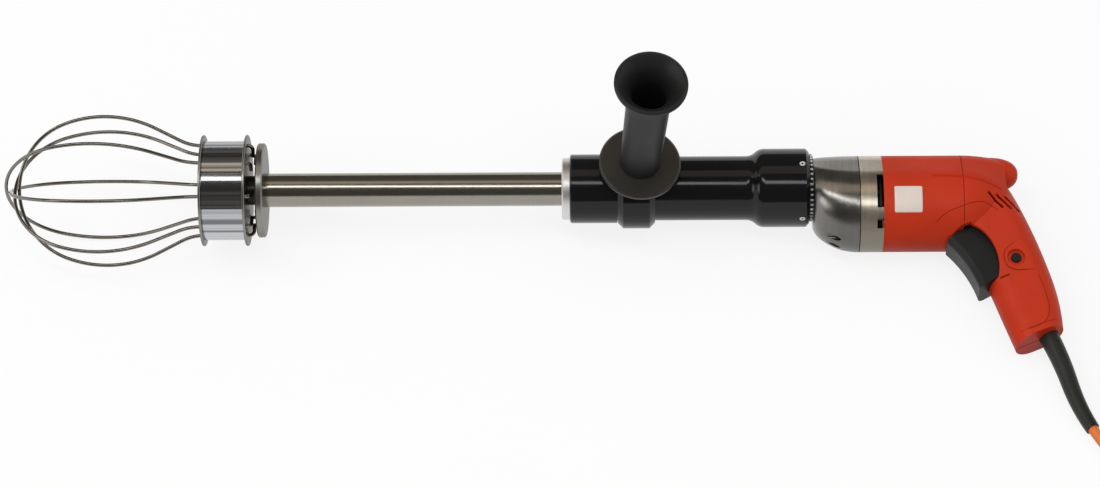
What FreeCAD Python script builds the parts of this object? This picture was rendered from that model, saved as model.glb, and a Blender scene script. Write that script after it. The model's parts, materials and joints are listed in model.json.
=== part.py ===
import FreeCAD, Part
import math
import os

from FreeCAD import Vector

# Mixing drill lying on a table: whisk, drive tube, bearing housing with a side handle, two stage
# gearbox, motor, pistol grip and mains cord.  Millimetres.  The tool is drawn in its own frame, X along
# the drill axis from the whisk to the motor with X = 0 at the gearbox front face, Y away from the grip
# and Z towards the side handle, and is then laid on the table, Z up, on whisk, barrel and grip.

# Fits
FIT = 0.05  # radial gap of a running fit or of a plug in its bore
GAP = 0.3  # room between pieces of different bodies
FAR = 300.0  # reach of cutting blocks, past every edge of the grip

# Whisk
WIRE_D = 3.0
LOOPS = 4
LOOP_GAP = 0.5  # between loops where they cross at the tip
FLARE_ANGLE = 27.0  # spread of the wires behind the drum
FLARE_R = 40.0
FLARE_RUN = 22.0
WHISK_REACH = 163.0  # drum face to the tip of the longest loop, on the wire's centre
HOOK_R = 4.0
HOOK_LEG = 6.0
PLATE_D = 92.0
PLATE_T = 2.0
WIRE_EDGE = 8.5  # plate rim to the circle on which the wires pass the plates
WIRE_RING_R = PLATE_D / 2 - WIRE_EDGE
WIRE_ROOM = 0.5  # between the wires and the inside of the drum sleeve
DRUM_WALL = 1.5
DRUM_D = 2 * WIRE_RING_R + WIRE_D + 2 * (WIRE_ROOM + DRUM_WALL)
DRUM_LENGTH = 38.0
HOOK_ROOM = 8.0  # space for the bent wire ends between drum and flange
HUB_D = 36.0
HUB_SPIGOT_D = 24.0
STUD_D = 14.0
STUD_HOLD = 28.0
FLANGE_D = 2 * WIRE_RING_R + WIRE_D  # covers the bent wire ends
FLANGE_T = 6.0

# Drive tube and spindle
TUBE_D = 28.0
TUBE_WALL = 2.0
TUBE_SHOWN = 245.3  # flange to the housing's front ring
PLUG_LENGTH = 22.0
SHOULDER_D = 30.0
SHOULDER_T = 3.5
FRONT_JOURNAL_D = 25.0
SPINDLE_BODY_D = 24.0
REAR_JOURNAL_D = 20.0
NOSE_D = 14.0
NOSE_LENGTH = 8.0

# Bearing housing
HOUSING_LENGTH = 196.7
HOUSING_D = 53.0
HOUSING_STEP = 2.0
HOUSING_FRONT_D = HOUSING_D + 2 * HOUSING_STEP
HOUSING_FRONT_LENGTH = 39.0
HOUSING_BORE = 34.0
CAP_D = 65.0
CAP_LENGTH = 36.7
FLARE_LENGTH = 15.0
CAP_GAP = 3.3  # between the housing's end and the gearbox face
RING_D = 51.0
RING_T = 6.7
RING_LIP = 2.0
RING_SPIGOT = 11.0  # depth of the front ring in the housing, up to the bearing
SEAL_D = 38.0
SEAL_T = 7.0
BEARING_OD = 42.0
FRONT_BEARING_T = 9.0
REAR_BEARING_T = 12.0
REAR_BEARING_FROM_END = 46.7
CLAMP_SCREW_D = 5.0
CLAMP_SCREWS = 4
CLAMP_SCREW_ANGLE = 82.0
CLAMP_SCREW_INSET = 5.8

# Side handle
HANDLE_LEAN = 4.0  # towards the motor, degrees
HANDLE_RING_WALL = 6.5
HANDLE_RING_D = HOUSING_D + 2 * HANDLE_RING_WALL
HANDLE_RING_LENGTH = 30.7
HANDLE_RING_CHAMFER = 4.5
HANDLE_BOSS_D = 30.0
HANDLE_BOSS_RISE = 5.0
COLLAR_D = 67.0
COLLAR_T = 6.0
COLLAR_FOOT = HANDLE_RING_D / 2 + HANDLE_BOSS_RISE  # drill axis to the underside of the collar
HANDLE_LENGTH = 124.0
HANDLE_BASE_D = 33.0
HANDLE_NECK_D = 36.0
HANDLE_BORE_D = 28.0
HANDLE_FLOOR = 12.0
BELL_D = 59.2
BELL_LENGTH = 24.0
BELL_LIP = 3.0
HANDLE_STUD_D = 10.0
HANDLE_STUD_HOLD = 9.0

# Gearbox and barrel section: a small circle round the spindle and a large one round the motor
SPINDLE_R = 26.0
MOTOR_R = 36.0
MOTOR_DROP = 20.0  # motor axis below the spindle axis
NOSE_R = 24.0
NOSE_MOTOR_R = 28.0
NOSE_DROP = 7.0
NOSE_TAPER = 34.0
# Round growth of the nose: share of its length and share of the way from nose to barrel section
NOSE_GROWTH = ((0.0, 0.0), (0.1, 0.31), (0.22, 0.5), (0.4, 0.7), (0.65, 0.89), (1.0, 1.0))
GEARBOX_LENGTH = 37.4
FLANGE_LENGTH = 19.0
BARREL_LENGTH = 65.1
CAST_WALL = 3.3
MOULD_WALL = 2.8
NECK_D = 43.0
NECK_LENGTH = 30.0
NECK_RING_D = 53.0
NECK_RING_T = 2.6
PARTITION_T = 6.0
CASE_SCREW_D = 3.5
CASE_HEAD_D = 6.0
CASE_HEAD_T = 2.6
CASE_BOSS_D = 6.6
# Level, side and seat of each gear case screw
CASE_SCREWS = ((14.6, 14.6, 3.0), (14.6, -14.6, 3.0), (-50.0, 6.0, 26.0), (-50.0, -6.0, 26.0))
VENT_DEPTH = 5.5
FLANGE_VENTS = ((-37.0, -7.0), (-50.0, -44.0))

# Gears
PRESSURE_ANGLE = 25.0
ADDENDUM = 0.8
DEDENDUM = 1.0
BACKLASH = 0.07
OUT_MODULE = 0.9
OUT_TEETH = 36
OUT_PINION_TEETH = 9
IN_MODULE = 0.7
IN_TEETH = 41
IN_PINION_TEETH = 9
OUT_GEAR_X = 8.0
OUT_GEAR_T = 13.0
IN_GEAR_X = 26.0
IN_GEAR_T = 7.0
COUNTER_JOURNAL_D = 6.0
BUSH_WALL = 1.5
BUSH_LENGTH = 6.0
SPINDLE_D = 15.0
SPINDLE_NOSE_D = 12.0
SPINDLE_TAIL_D = 7.5
COUNTER_D = 7.0
SPINDLE_COLLAR_D = 20.0
SPINDLE_COLLAR_T = 3.0
SPINDLE_BEARING_OD = 32.0
SPINDLE_BEARING_DEPTH = 10.0  # seat behind the gearbox face, inside the neck
SPINDLE_BEARING_T = 9.0
COUPLING_D = 34.0
COUPLING_LENGTH = 17.0

# Motor
MOTOR_SHAFT_D = 8.0
MOTOR_BEARING_OD = 22.0
MOTOR_BEARING_T = 7.0
STACK_LENGTH = 36.0
STACK_FROM_FLANGE = 8.0  # front of the iron behind the barrel's front face
ARMATURE_D = 36.0
AIR_GAP = 0.6
COIL_T = 5.5
COIL_OUTER_D = 60.0
COIL_INNER_D = 41.0
WINDING_D = 32.0
COMMUTATOR_D = 22.0
COMMUTATOR_LENGTH = 10.0
FAN_D = 56.0
FAN_T = 8.0
FAN_BLADES = 12
BLADE_T = 1.6
BRUSH_WIDTH = 7.5
BRUSH_THICK = 5.5
BRUSH_LENGTH = 14.0
HOLDER_WALL = 1.0
BRIDGE_T = 3.0

# Pistol grip: front edge, rear edge and half width at levels below the spindle axis
GRIP_LEVELS = (
    (-6.0, 120.0, 162.0, 19.5),
    (-30.0, 113.0, 172.5, 26.0),
    (-55.0, 119.0, 182.0, 22.5),
    (-80.0, 133.5, 190.0, 19.0),
    (-110.0, 145.5, 197.0, 17.8),
    (-132.0, 153.0, 199.0, 17.6),
    (-160.0, 162.5, 200.0, 17.2),
)
GRIP_END = (177.3, -143.9)  # middle of the grip's end face
GRIP_TILT = 23.5
REAR_LENGTH = 36.5
REAR_STEPS = 5
REAR_TOP = (14.0, 8.0)  # radius and level of the rear end's upper circle
REAR_LOW = (20.0, -16.0)
RIDGE_LEVEL = 11.2
RIDGE_R = 16.2
RIDGE = ((0.0, RIDGE_R), (21.3, 14.7), (31.2, 13.2), (38.5, 11.6))  # place behind the barrel and radius
BEAK_BEHIND = 36.2
BEAK_R = 11.8

# Trigger, switch and lock
TRIGGER_TRAVEL = 7.0
TRIGGER_HALF = 14.6
TRIGGER_TOP = (108.0, -58.3)
TRIGGER_MID = (120.3, -74.0)
TRIGGER_FOOT = (132.5, -101.0)
TRIGGER_DEPTH = 17.0  # along the travel at the foot
TRIGGER_BACK = (144.5, -66.0)
TRIGGER_PEAK = (127.0, -47.0)
TRIGGER_BROW = (116.0, -51.0)
TRIGGER_LAP = 3.0  # hidden behind the edge of its window
WINDOW_GAP = 0.6
TRIGGER_ROUND = 6.0
TRIGGER_BODY_END = 32.0  # depth of the hidden part behind the front
TRIGGER_BODY_HEIGHT = 50.0
STEM = 8.0
SWITCH_FROM_FRONT = 38.5
SWITCH_DEPTH = 17.0
SWITCH_HEIGHT = 34.0
SWITCH_HALF = 11.0
LOCK_AT = (162.5, -77.4)
LOCK_D = 8.0
LOCK_TRAVEL = 2.5
LOCK_TOP = 20.4
LOCK_SEAT = 18.2  # floor of the dish round the button
LOCK_DISH_D = 14.0
LOCK_FLANGE_D = 9.8
LOCK_FLANGE = (14.4, 15.7)
RIB_T = 2.4
RIB_OFFSET = 8.0
SCREW_D = 4.0
SCREW_HEAD_D = 7.0
SCREW_HEAD_T = 2.5
SCREW_SEAT = -11.0
SCREW_END = 10.0
BOSS_D = 8.5
SHELL_SCREWS = ((146.0, 6.0), (168.0, -40.0), (178.0, -92.0), (166.0, -118.0))
SLOTS = 3
SLOT_AT = (147.5, -28.0)
SLOT_PITCH = 7.0
SLOT_LENGTH = 17.0
SLOT_WIDTH = 2.2
SLOT_SLANT = -44.0

# Strain relief, cord and plug
RELIEF_ROOT_D = 16.6
RELIEF_TIP_D = 11.6
RELIEF_COLLAR_D = 21.0
RELIEF_COLLAR_T = 3.0
RELIEF_FROM_MIDDLE = 10.5  # along the grip's end face, towards its back
RELIEF_REACH = (30.0, -83.4)  # on the table, from the grip's end to the tip
RELIEF_TIP_HEADING = (0.44, -0.9)
RELIEF_TIP_ABOVE = 0.5  # tip's underside above the table
CORD_D = 8.5
COIL_LAYERS = 4
COIL_TURNS = 3  # in each layer
COIL_MIDDLE_R = 49.5
COIL_PITCH = 9.2
COIL_FROM_RELIEF = (105.0, 18.8)  # relief tip to the middle of the coil
LEAD_START = 16.0
LEAD_TURNS = ((19.5, -29.5), (38.0, -40.0))
LEAD_END = 28.0
TAIL_START = 29.0
TAIL_TURNS = ((66.0, -56.0, 25.0), (89.0, -42.0, 17.0), (104.0, -21.0, 9.2), (110.0, 4.0, 9.2))
TIE_T = 1.2
TIE_WIDTH = 16.0
TIE_ROOM = 1.4
PLUG_NECK = 12.0
PLUG_WIDTH = 36.0
PLUG_HEIGHT = 17.0
PLUG_FACE_T = 9.0
PLUG_BODY = 40.0
PIN_D = 4.8
PIN_LENGTH = 19.0
PIN_SPACING = 19.0

# Places along the drill axis
HOUSING_END = -CAP_GAP
HOUSING_FRONT = HOUSING_END - HOUSING_LENGTH
RING_FRONT = HOUSING_FRONT - RING_T
FLANGE_BACK = RING_FRONT - TUBE_SHOWN
FLANGE_FRONT = FLANGE_BACK - FLANGE_T
DRUM_BACK = FLANGE_FRONT - HOOK_ROOM
DRUM_FRONT = DRUM_BACK - DRUM_LENGTH
WHISK_TIP = DRUM_FRONT - WHISK_REACH
SEAL_FRONT = RING_FRONT + RING_LIP
FRONT_BEARING_X = HOUSING_FRONT + RING_SPIGOT
TUBE_END = FRONT_BEARING_X - SHOULDER_T
REAR_BEARING_X = HOUSING_END - REAR_BEARING_FROM_END - REAR_BEARING_T
SPINDLE_END = REAR_BEARING_X + REAR_BEARING_T + 1.0
HANDLE_RING_X = HOUSING_FRONT + HOUSING_FRONT_LENGTH + GAP
HANDLE_X = HANDLE_RING_X + HANDLE_RING_LENGTH / 2
COUPLING_X = SPINDLE_END + 0.5
FLANGE_X = GEARBOX_LENGTH
BARREL_X = FLANGE_X + FLANGE_LENGTH
SHELL_X = BARREL_X + BARREL_LENGTH
STACK_X = BARREL_X + STACK_FROM_FLANGE
STACK_END = STACK_X + STACK_LENGTH
COMMUTATOR_X = STACK_END + COIL_T + 1.5
MOTOR_BEARING_X = FLANGE_X + 1.5
FAN_X = MOTOR_BEARING_X + MOTOR_BEARING_T + 1.3
BUSH_X = CAST_WALL - 2.0
CASE_SCREW_END = FLANGE_X + PARTITION_T - 1.0
REAR_MOTOR_BEARING_X = SHELL_X + 1.0
SHAFT_END = REAR_MOTOR_BEARING_X + MOTOR_BEARING_T
MOTOR_Y = -MOTOR_DROP

# Countershaft place, from the two centre distances
OUT_CENTRES = OUT_MODULE * (OUT_TEETH + OUT_PINION_TEETH) / 2
IN_CENTRES = IN_MODULE * (IN_TEETH + IN_PINION_TEETH) / 2
COUNTER_Y = -(MOTOR_DROP**2 + OUT_CENTRES**2 - IN_CENTRES**2) / (2 * MOTOR_DROP)
COUNTER_Z = -math.sqrt(OUT_CENTRES**2 - COUNTER_Y**2)


def rod(x0, x1, d, y=0.0, z=0.0):
    """Round bar along X."""
    return Part.makeCylinder(d / 2, x1 - x0, Vector(x0, y, z), Vector(1, 0, 0))


def ring(x0, x1, d_out, d_in, y=0.0, z=0.0):
    """Round ring along X."""
    return rod(x0, x1, d_out, y, z).cut(rod(x0 - 1, x1 + 1, d_in, y, z))


def turned(points, y=0.0):
    """Solid of revolution about X from (x, radius) points; a point may be an arc's middle, marked 'arc'."""
    edges = []
    loop = list(points) + [points[0]]
    i = 0
    while i < len(loop) - 1:
        start = Vector(loop[i][0], loop[i][1] + y, 0)
        arc = len(loop[i + 1]) == 3
        stop = loop[i + 2] if arc else loop[i + 1]
        end = Vector(stop[0], stop[1] + y, 0)
        if arc:
            middle = Vector(loop[i + 1][0], loop[i + 1][1] + y, 0)
            edges.append(Part.Arc(start, middle, end).toShape())
        else:
            edges.append(Part.makeLine(start, end))
        i += 2 if arc else 1
    return Part.Face(Part.Wire(edges)).revolve(Vector(0, y, 0), Vector(1, 0, 0), 360)


def arc_edge(start, corner, end):
    """Arc that leaves start and reaches end along the lines to their common corner."""
    reach = (corner - start).Length
    weight = (end - start).Length / (2 * reach)
    middle = (start + end + corner * (2 * weight)) * (1 / (2 + 2 * weight))
    if middle.distanceToLine(start, end - start) < 1e-6:
        return Part.makeLine(start, end)
    return Part.Arc(start, middle, end).toShape()


def biarc(p0, t0, p1, t1):
    """Two tangent arcs from p0 along t0 to p1 along t1."""
    span = p1 - p0
    both = t0 + t1
    spread = 2 * (1 - t0.dot(t1))
    along = span.dot(both)
    if spread < 1e-9:
        reach = span.dot(span) / (2 * along)
    else:
        reach = (math.sqrt(along**2 + spread * span.dot(span)) - along) / spread
    c0 = p0 + t0 * reach
    c1 = p1 - t1 * reach
    joint = (c0 + c1) * 0.5
    return [arc_edge(p0, c0, joint), arc_edge(joint, c1, p1)]


def rounded_route(points, share=0.45):
    """Edges of straight runs joined by the largest arcs that a share of each run allows, with their radii."""
    edges, radii = [], []
    start = points[0]
    for before, corner, after in zip(points, points[1:], points[2:]):
        reach = share * min((corner - before).Length, (after - corner).Length)
        into = (corner - before).normalize()
        out = (after - corner).normalize()
        a = corner - into * reach
        b = corner + out * reach
        edges.append(Part.makeLine(start, a))
        edges.append(arc_edge(a, corner, b))
        radii.append(reach / math.tan(into.getAngle(out) / 2))
        start = b
    edges.append(Part.makeLine(start, points[-1]))
    return edges, radii


def tube_along(edges, d):
    """Round solid of diameter d swept along tangent edges."""
    path = Part.Wire(Part.sortEdges(edges)[0])
    first = path.OrderedEdges[0]
    start = path.OrderedVertexes[0].Point
    tangent = first.tangentAt(first.FirstParameter)
    if first.valueAt(first.FirstParameter).distanceToPoint(start) > 1e-6:
        tangent = first.tangentAt(first.LastParameter)
    section = Part.Wire(Part.Circle(start, tangent, d / 2).toShape())
    solid = path.makePipeShell([section], True, False)
    print("tube d %.1f length %.1f volume ratio %.5f" % (
        d, path.Length, solid.Volume / (path.Length * math.pi * d * d / 4)))
    return solid


def bearing(x, width, d_in, d_out, y=0.0, z=0.0):
    """Sealed ball bearing, one ring with recessed seals."""
    step = (d_out - d_in) / 8
    recess = width / 12
    body = ring(x, x + width, d_out, d_in + 2 * FIT, y, z)
    for side in (x, x + width - recess):
        body = body.cut(ring(side, side + recess, d_out - 2 * step, d_in + 2 * step, y, z))
    return body


def hull_wire(x, top, low, inset=0.0):
    """Outline of two circles and their outer tangents on plane X; each circle is (radius, level)."""
    r1, y1 = top[0] - inset, top[1]
    r2, y2 = low[0] - inset, low[1]
    lean = math.asin((r2 - r1) / (y1 - y2))
    c, s = math.cos(lean), math.sin(lean)
    a = Vector(x, y1 + r1 * s, r1 * c)
    b = Vector(x, y2 + r2 * s, r2 * c)
    a2 = Vector(x, a.y, -a.z)
    b2 = Vector(x, b.y, -b.z)
    return Part.Wire([
        Part.Arc(a2, Vector(x, y1 + r1, 0), a).toShape(),
        Part.makeLine(a, b),
        Part.Arc(b, Vector(x, y2 - r2, 0), b2).toShape(),
        Part.makeLine(b2, a2),
    ])


def between(start, end, share):
    """Value a share of the way from start to end."""
    return start + (end - start) * share


def barrel(x0, x1, inset=0.0):
    """Straight length of the gearbox and motor section."""
    outline = hull_wire(x0, (SPINDLE_R, 0.0), (MOTOR_R, MOTOR_Y), inset)
    return Part.Face(outline).extrude(Vector(x1 - x0, 0, 0))


def flank(radius, base):
    """Angle by which an involute has turned at a radius."""
    ratio = min(1.0, base / radius)
    return math.tan(math.acos(ratio)) - math.acos(ratio)


def gear(x, width, teeth, module, bore, y, z, phase):
    """Spur gear along X with involute teeth, one of them centred on the phase angle."""
    pitch = module * teeth / 2
    base = pitch * math.cos(math.radians(PRESSURE_ANGLE))
    tip = pitch + ADDENDUM * module
    root = pitch - DEDENDUM * module
    foot = max(base, root)
    half = (math.pi / 2 - BACKLASH / module) / teeth + flank(pitch, base)

    def at(radius, angle):
        return Vector(x, y + radius * math.cos(angle), z + radius * math.sin(angle))

    edges = []
    step = 2 * math.pi / teeth
    foot_half = half - flank(foot, base)
    for i in range(teeth):
        mid = math.radians(phase) + i * step
        heights = (foot, (foot + tip) / 2, tip)
        low = [at(r, mid - half + flank(r, base)) for r in heights]
        high = [at(r, mid + half - flank(r, base)) for r in heights]
        start = at(root, mid - foot_half)
        end = at(root, mid + foot_half)
        if root < foot:
            edges.append(Part.makeLine(start, low[0]))
            edges.append(Part.makeLine(high[0], end))
        edges.append(Part.Arc(*low).toShape())
        edges.append(Part.makeLine(low[2], high[2]))
        edges.append(Part.Arc(*high).toShape())
        edges.append(Part.makeLine(end, at(root, mid + step - foot_half)))
    outline = Part.Wire(Part.sortEdges(edges)[0])
    body = Part.Face(outline).extrude(Vector(width, 0, 0))
    return body.cut(rod(x - 1, x + width + 1, bore, y, z)) if bore else body


def s_curve(x0, r0, x1, r1):
    """Profile points of two arcs that join two levels smoothly, after the start point."""
    length, rise = x1 - x0, r1 - r0
    radius = (length**2 + rise**2) / (4 * abs(rise))
    half = math.atan(abs(rise) / length)
    dx = radius * math.sin(half)
    dr = radius * (1 - math.cos(half)) * (1 if rise > 0 else -1)
    return [(x0 + dx, r0 + dr, "arc"), ((x0 + x1) / 2, (r0 + r1) / 2), (x1 - dx, r1 - dr, "arc"), (x1, r1)]


def rest_plane():
    """Table normal and height of the drill axis, for a tool that lies on whisk, barrel end and grip end."""
    whisk_x, whisk_r = whisk_belly()
    grip = (GRIP_END[0], GRIP_END[1], GRIP_LEVELS[-2][3])
    nx, ny, nz = 0.0, 0.0, 1.0
    for _ in range(30):
        round_share = math.hypot(ny, nz)
        a = MOTOR_R * round_share - whisk_r * round_share
        b = grip[2] * nz - MOTOR_R * round_share
        dx1, dy1 = SHELL_X - whisk_x, MOTOR_Y
        dx2, dy2 = grip[0] - SHELL_X, grip[1] - MOTOR_Y
        det = dx1 * dy2 - dx2 * dy1
        nx = (a * dy2 - b * dy1) / det
        ny = (dx1 * b - dx2 * a) / det
        nz = math.sqrt(1 - nx**2 - ny**2)
    height = whisk_r * math.hypot(ny, nz) - nx * whisk_x
    return Vector(nx, ny, nz), height


def whisk_bow(tip):
    """Half of a loop in (x, radius): flare corner, end of the flare, end of the straight run, tip."""
    lean = math.radians(FLARE_ANGLE)
    reach = FLARE_R * math.tan(lean / 2)
    heading = Vector(-math.cos(lean), math.sin(lean), 0)
    corner = Vector(DRUM_FRONT - reach, WIRE_RING_R, 0)
    flare_end = corner + heading * reach
    return corner, flare_end, flare_end + heading * FLARE_RUN, Vector(tip, 0, 0), heading


def whisk_belly():
    """Place and outer radius of the widest point of the longest loop."""
    _, _, start, tip, heading = whisk_bow(WHISK_TIP)
    bow = Part.Wire(biarc(start, heading, tip, Vector(0, -1, 0)))
    widest = max(bow.discretize(Number=400), key=lambda p: p.y)
    return widest.x, widest.y + WIRE_D / 2


NORMAL, AXIS_HEIGHT = rest_plane()
WHISK_DOWN = math.atan2(-NORMAL.z, -NORMAL.y)  # angle of the wire that rests on the table


def whisk_wire(index):
    """One bent wire: hooked ends, legs through the drum and a bow round the tip."""
    angle = WHISK_DOWN + index * math.pi / LOOPS
    out = Vector(0, math.cos(angle), math.sin(angle))
    corner, flare_end, start, tip, heading = whisk_bow(WHISK_TIP + index * (WIRE_D + LOOP_GAP))
    hook = Vector(DRUM_BACK + HOOK_ROOM / 2, WIRE_RING_R, 0)
    inwards = Vector(0, -1, 0)
    leg = hook + inwards * HOOK_R
    profile = [leg + inwards * HOOK_LEG, leg, hook, hook - Vector(HOOK_R, 0, 0),
               Vector(DRUM_FRONT, WIRE_RING_R, 0), corner, flare_end, start, tip, heading]
    edges = []
    for way in (out, out * -1):
        leg_end, leg, hook, back, front, bend, flare, bow, end, bow_way = [
            Vector(p.x, 0, 0) + way * p.y for p in profile
        ]
        edges.append(Part.makeLine(leg_end, leg))
        edges.append(arc_edge(leg, hook, back))
        edges.append(Part.makeLine(back, front))
        edges.append(arc_edge(front, bend, flare))
        edges.append(Part.makeLine(flare, bow))
        edges += biarc(bow, bow_way, end, way * -1)
    return tube_along(edges, WIRE_D)


def drum_plate(x):
    """Round end plate of the whisk drum with its wire holes."""
    rim, edge, back = PLATE_D / 2, PLATE_T / 4, x + PLATE_T
    plate = turned([(x, 0), (x, rim - edge), (x + edge, rim),
                    (back - edge, rim), (back, rim - edge), (back, 0)])
    plate = plate.cut(rod(x - 1, back + 1, HUB_SPIGOT_D + 2 * FIT))
    for i in range(2 * LOOPS):
        angle = WHISK_DOWN + i * math.pi / LOOPS
        y, z = WIRE_RING_R * math.cos(angle), WIRE_RING_R * math.sin(angle)
        plate = plate.cut(rod(x - 1, back + 1, WIRE_D + 2 * FIT, y, z))
    return plate


def whisk_hub():
    """Core of the drum, screwed on the stud."""
    spigot, core, bore = HUB_SPIGOT_D / 2, HUB_D / 2, STUD_D / 2 + FIT
    front, back = DRUM_FRONT + PLATE_T, DRUM_BACK - PLATE_T
    bottom = FLANGE_FRONT - STUD_HOLD
    return turned([(DRUM_FRONT, 0), (DRUM_FRONT, spigot), (front, spigot), (front, core), (back, core),
                   (back, spigot), (FLANGE_FRONT, spigot), (FLANGE_FRONT, bore), (bottom, bore), (bottom, 0)])


def whisk_parts():
    """The whisk and its drum."""
    parts = {"whisk_wire_%d" % (i + 1): whisk_wire(i) for i in range(LOOPS)}
    parts["whisk_front_plate"] = drum_plate(DRUM_FRONT)
    parts["whisk_rear_plate"] = drum_plate(DRUM_BACK - PLATE_T)
    parts["whisk_sleeve"] = ring(DRUM_FRONT + PLATE_T, DRUM_BACK - PLATE_T, DRUM_D, DRUM_D - 2 * DRUM_WALL)
    parts["whisk_hub"] = whisk_hub()
    return parts


def shaft_parts():
    """Flange, tube and the spindle in the bearing housing."""
    plug = TUBE_D / 2 - TUBE_WALL - FIT
    edge = FLANGE_T / 6
    flange = turned([(FLANGE_FRONT, STUD_D / 2 + FIT), (FLANGE_FRONT, FLANGE_D / 2 - edge),
                     (FLANGE_FRONT + edge, FLANGE_D / 2), (FLANGE_BACK - edge, FLANGE_D / 2),
                     (FLANGE_BACK, FLANGE_D / 2 - edge), (FLANGE_BACK, STUD_D / 2 + FIT)])
    stud_tip = FLANGE_FRONT - STUD_HOLD + 1
    stud = turned([(stud_tip, 0), (stud_tip, STUD_D / 2), (FLANGE_BACK, STUD_D / 2), (FLANGE_BACK, plug),
                   (FLANGE_BACK + PLUG_LENGTH, plug), (FLANGE_BACK + PLUG_LENGTH, 0)])
    journal_end = FRONT_BEARING_X + FRONT_BEARING_T + 1
    nose_end = SPINDLE_END + NOSE_LENGTH
    spindle = turned([(TUBE_END - PLUG_LENGTH, 0), (TUBE_END - PLUG_LENGTH, plug), (TUBE_END, plug),
                      (TUBE_END, SHOULDER_D / 2), (FRONT_BEARING_X, SHOULDER_D / 2),
                      (FRONT_BEARING_X, FRONT_JOURNAL_D / 2), (journal_end, FRONT_JOURNAL_D / 2),
                      (journal_end, SPINDLE_BODY_D / 2), (REAR_BEARING_X, SPINDLE_BODY_D / 2),
                      (REAR_BEARING_X, REAR_JOURNAL_D / 2), (SPINDLE_END, REAR_JOURNAL_D / 2),
                      (SPINDLE_END, NOSE_D / 2), (nose_end, NOSE_D / 2), (nose_end, 0)])
    coupling_end = COUPLING_X + COUPLING_LENGTH
    front_bore, rear_bore = NOSE_D / 2 + FIT, SPINDLE_NOSE_D / 2 + FIT
    coupling = turned([(COUPLING_X, front_bore), (COUPLING_X, COUPLING_D / 2), (coupling_end, COUPLING_D / 2),
                       (coupling_end, rear_bore), (nose_end, rear_bore), (nose_end, front_bore)])
    return {
        "end_flange": flange,
        "tool_stud": stud,
        "drive_tube": ring(FLANGE_BACK, TUBE_END, TUBE_D, TUBE_D - 2 * TUBE_WALL),
        "drive_spindle": spindle,
        "coupling_sleeve": coupling,
    }


def clamp_screw(index, d, inner, outer):
    """Radial bar at one of the clamp screws."""
    angle = math.radians(CLAMP_SCREW_ANGLE + index * 360 / CLAMP_SCREWS)
    out = Vector(0, math.cos(angle), math.sin(angle))
    start = Vector(HOUSING_END - CLAMP_SCREW_INSET, 0, 0) + out * inner
    return Part.makeCylinder(d / 2, outer - inner, start, out)


def housing_parts():
    """Black bearing housing with its front ring, seal, bearings and clamp screws."""
    chamfer = 1.0
    end_round = 2.5
    seat = BEARING_OD / 2
    neck = NECK_D / 2 + FIT
    front_r, body_r, cap_r = HOUSING_FRONT_D / 2, HOUSING_D / 2, CAP_D / 2
    step = HOUSING_FRONT + HOUSING_FRONT_LENGTH
    cap = HOUSING_END - CAP_LENGTH
    rear_seat_end = REAR_BEARING_X + REAR_BEARING_T
    front_seat_end = FRONT_BEARING_X + FRONT_BEARING_T
    outside = [(HOUSING_FRONT, front_r - chamfer), (HOUSING_FRONT + chamfer, front_r), (step, front_r),
               (step, body_r), (cap - FLARE_LENGTH, body_r)]
    outside += s_curve(cap - FLARE_LENGTH, body_r, cap, cap_r)
    outside += [(HOUSING_END - end_round, cap_r), (HOUSING_END, cap_r - end_round)]
    inside = [(HOUSING_END, neck), (rear_seat_end, neck), (rear_seat_end, seat), (REAR_BEARING_X, seat),
              (REAR_BEARING_X, HOUSING_BORE / 2), (front_seat_end, HOUSING_BORE / 2), (front_seat_end, seat),
              (HOUSING_FRONT, seat)]
    housing = turned(outside + inside)
    screws = []
    for i in range(CLAMP_SCREWS):
        housing = housing.cut(clamp_screw(i, CLAMP_SCREW_D + 2 * FIT, neck - 1, cap_r + 1))
        screws.append(clamp_screw(i, CLAMP_SCREW_D, NECK_D / 2, cap_r - 0.4))
    lip = TUBE_D / 2 + 2 * GAP
    seal_r = SEAL_D / 2
    rim = RING_D / 2
    front_ring = turned([(RING_FRONT, lip), (RING_FRONT, rim - chamfer), (RING_FRONT + chamfer, rim),
                         (HOUSING_FRONT, rim), (HOUSING_FRONT, seat), (FRONT_BEARING_X, seat),
                         (FRONT_BEARING_X, seal_r), (SEAL_FRONT, seal_r), (SEAL_FRONT, lip)])
    return {
        "bearing_housing": housing,
        "front_ring": front_ring,
        "shaft_seal": ring(SEAL_FRONT, SEAL_FRONT + SEAL_T, SEAL_D, TUBE_D + 2 * FIT),
        "front_bearing": bearing(FRONT_BEARING_X, FRONT_BEARING_T, FRONT_JOURNAL_D, BEARING_OD),
        "rear_bearing": bearing(REAR_BEARING_X, REAR_BEARING_T, REAR_JOURNAL_D, BEARING_OD),
        "clamp_screws": Part.makeCompound(screws),
    }


def on_handle_axis(shape):
    """Stand a piece drawn along X on the side handle's leaning axis."""
    shape.rotate(Vector(0, 0, 0), Vector(0, 1, 0), HANDLE_LEAN - 90)
    shape.translate(Vector(HANDLE_X, 0, 0))
    return shape


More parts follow.
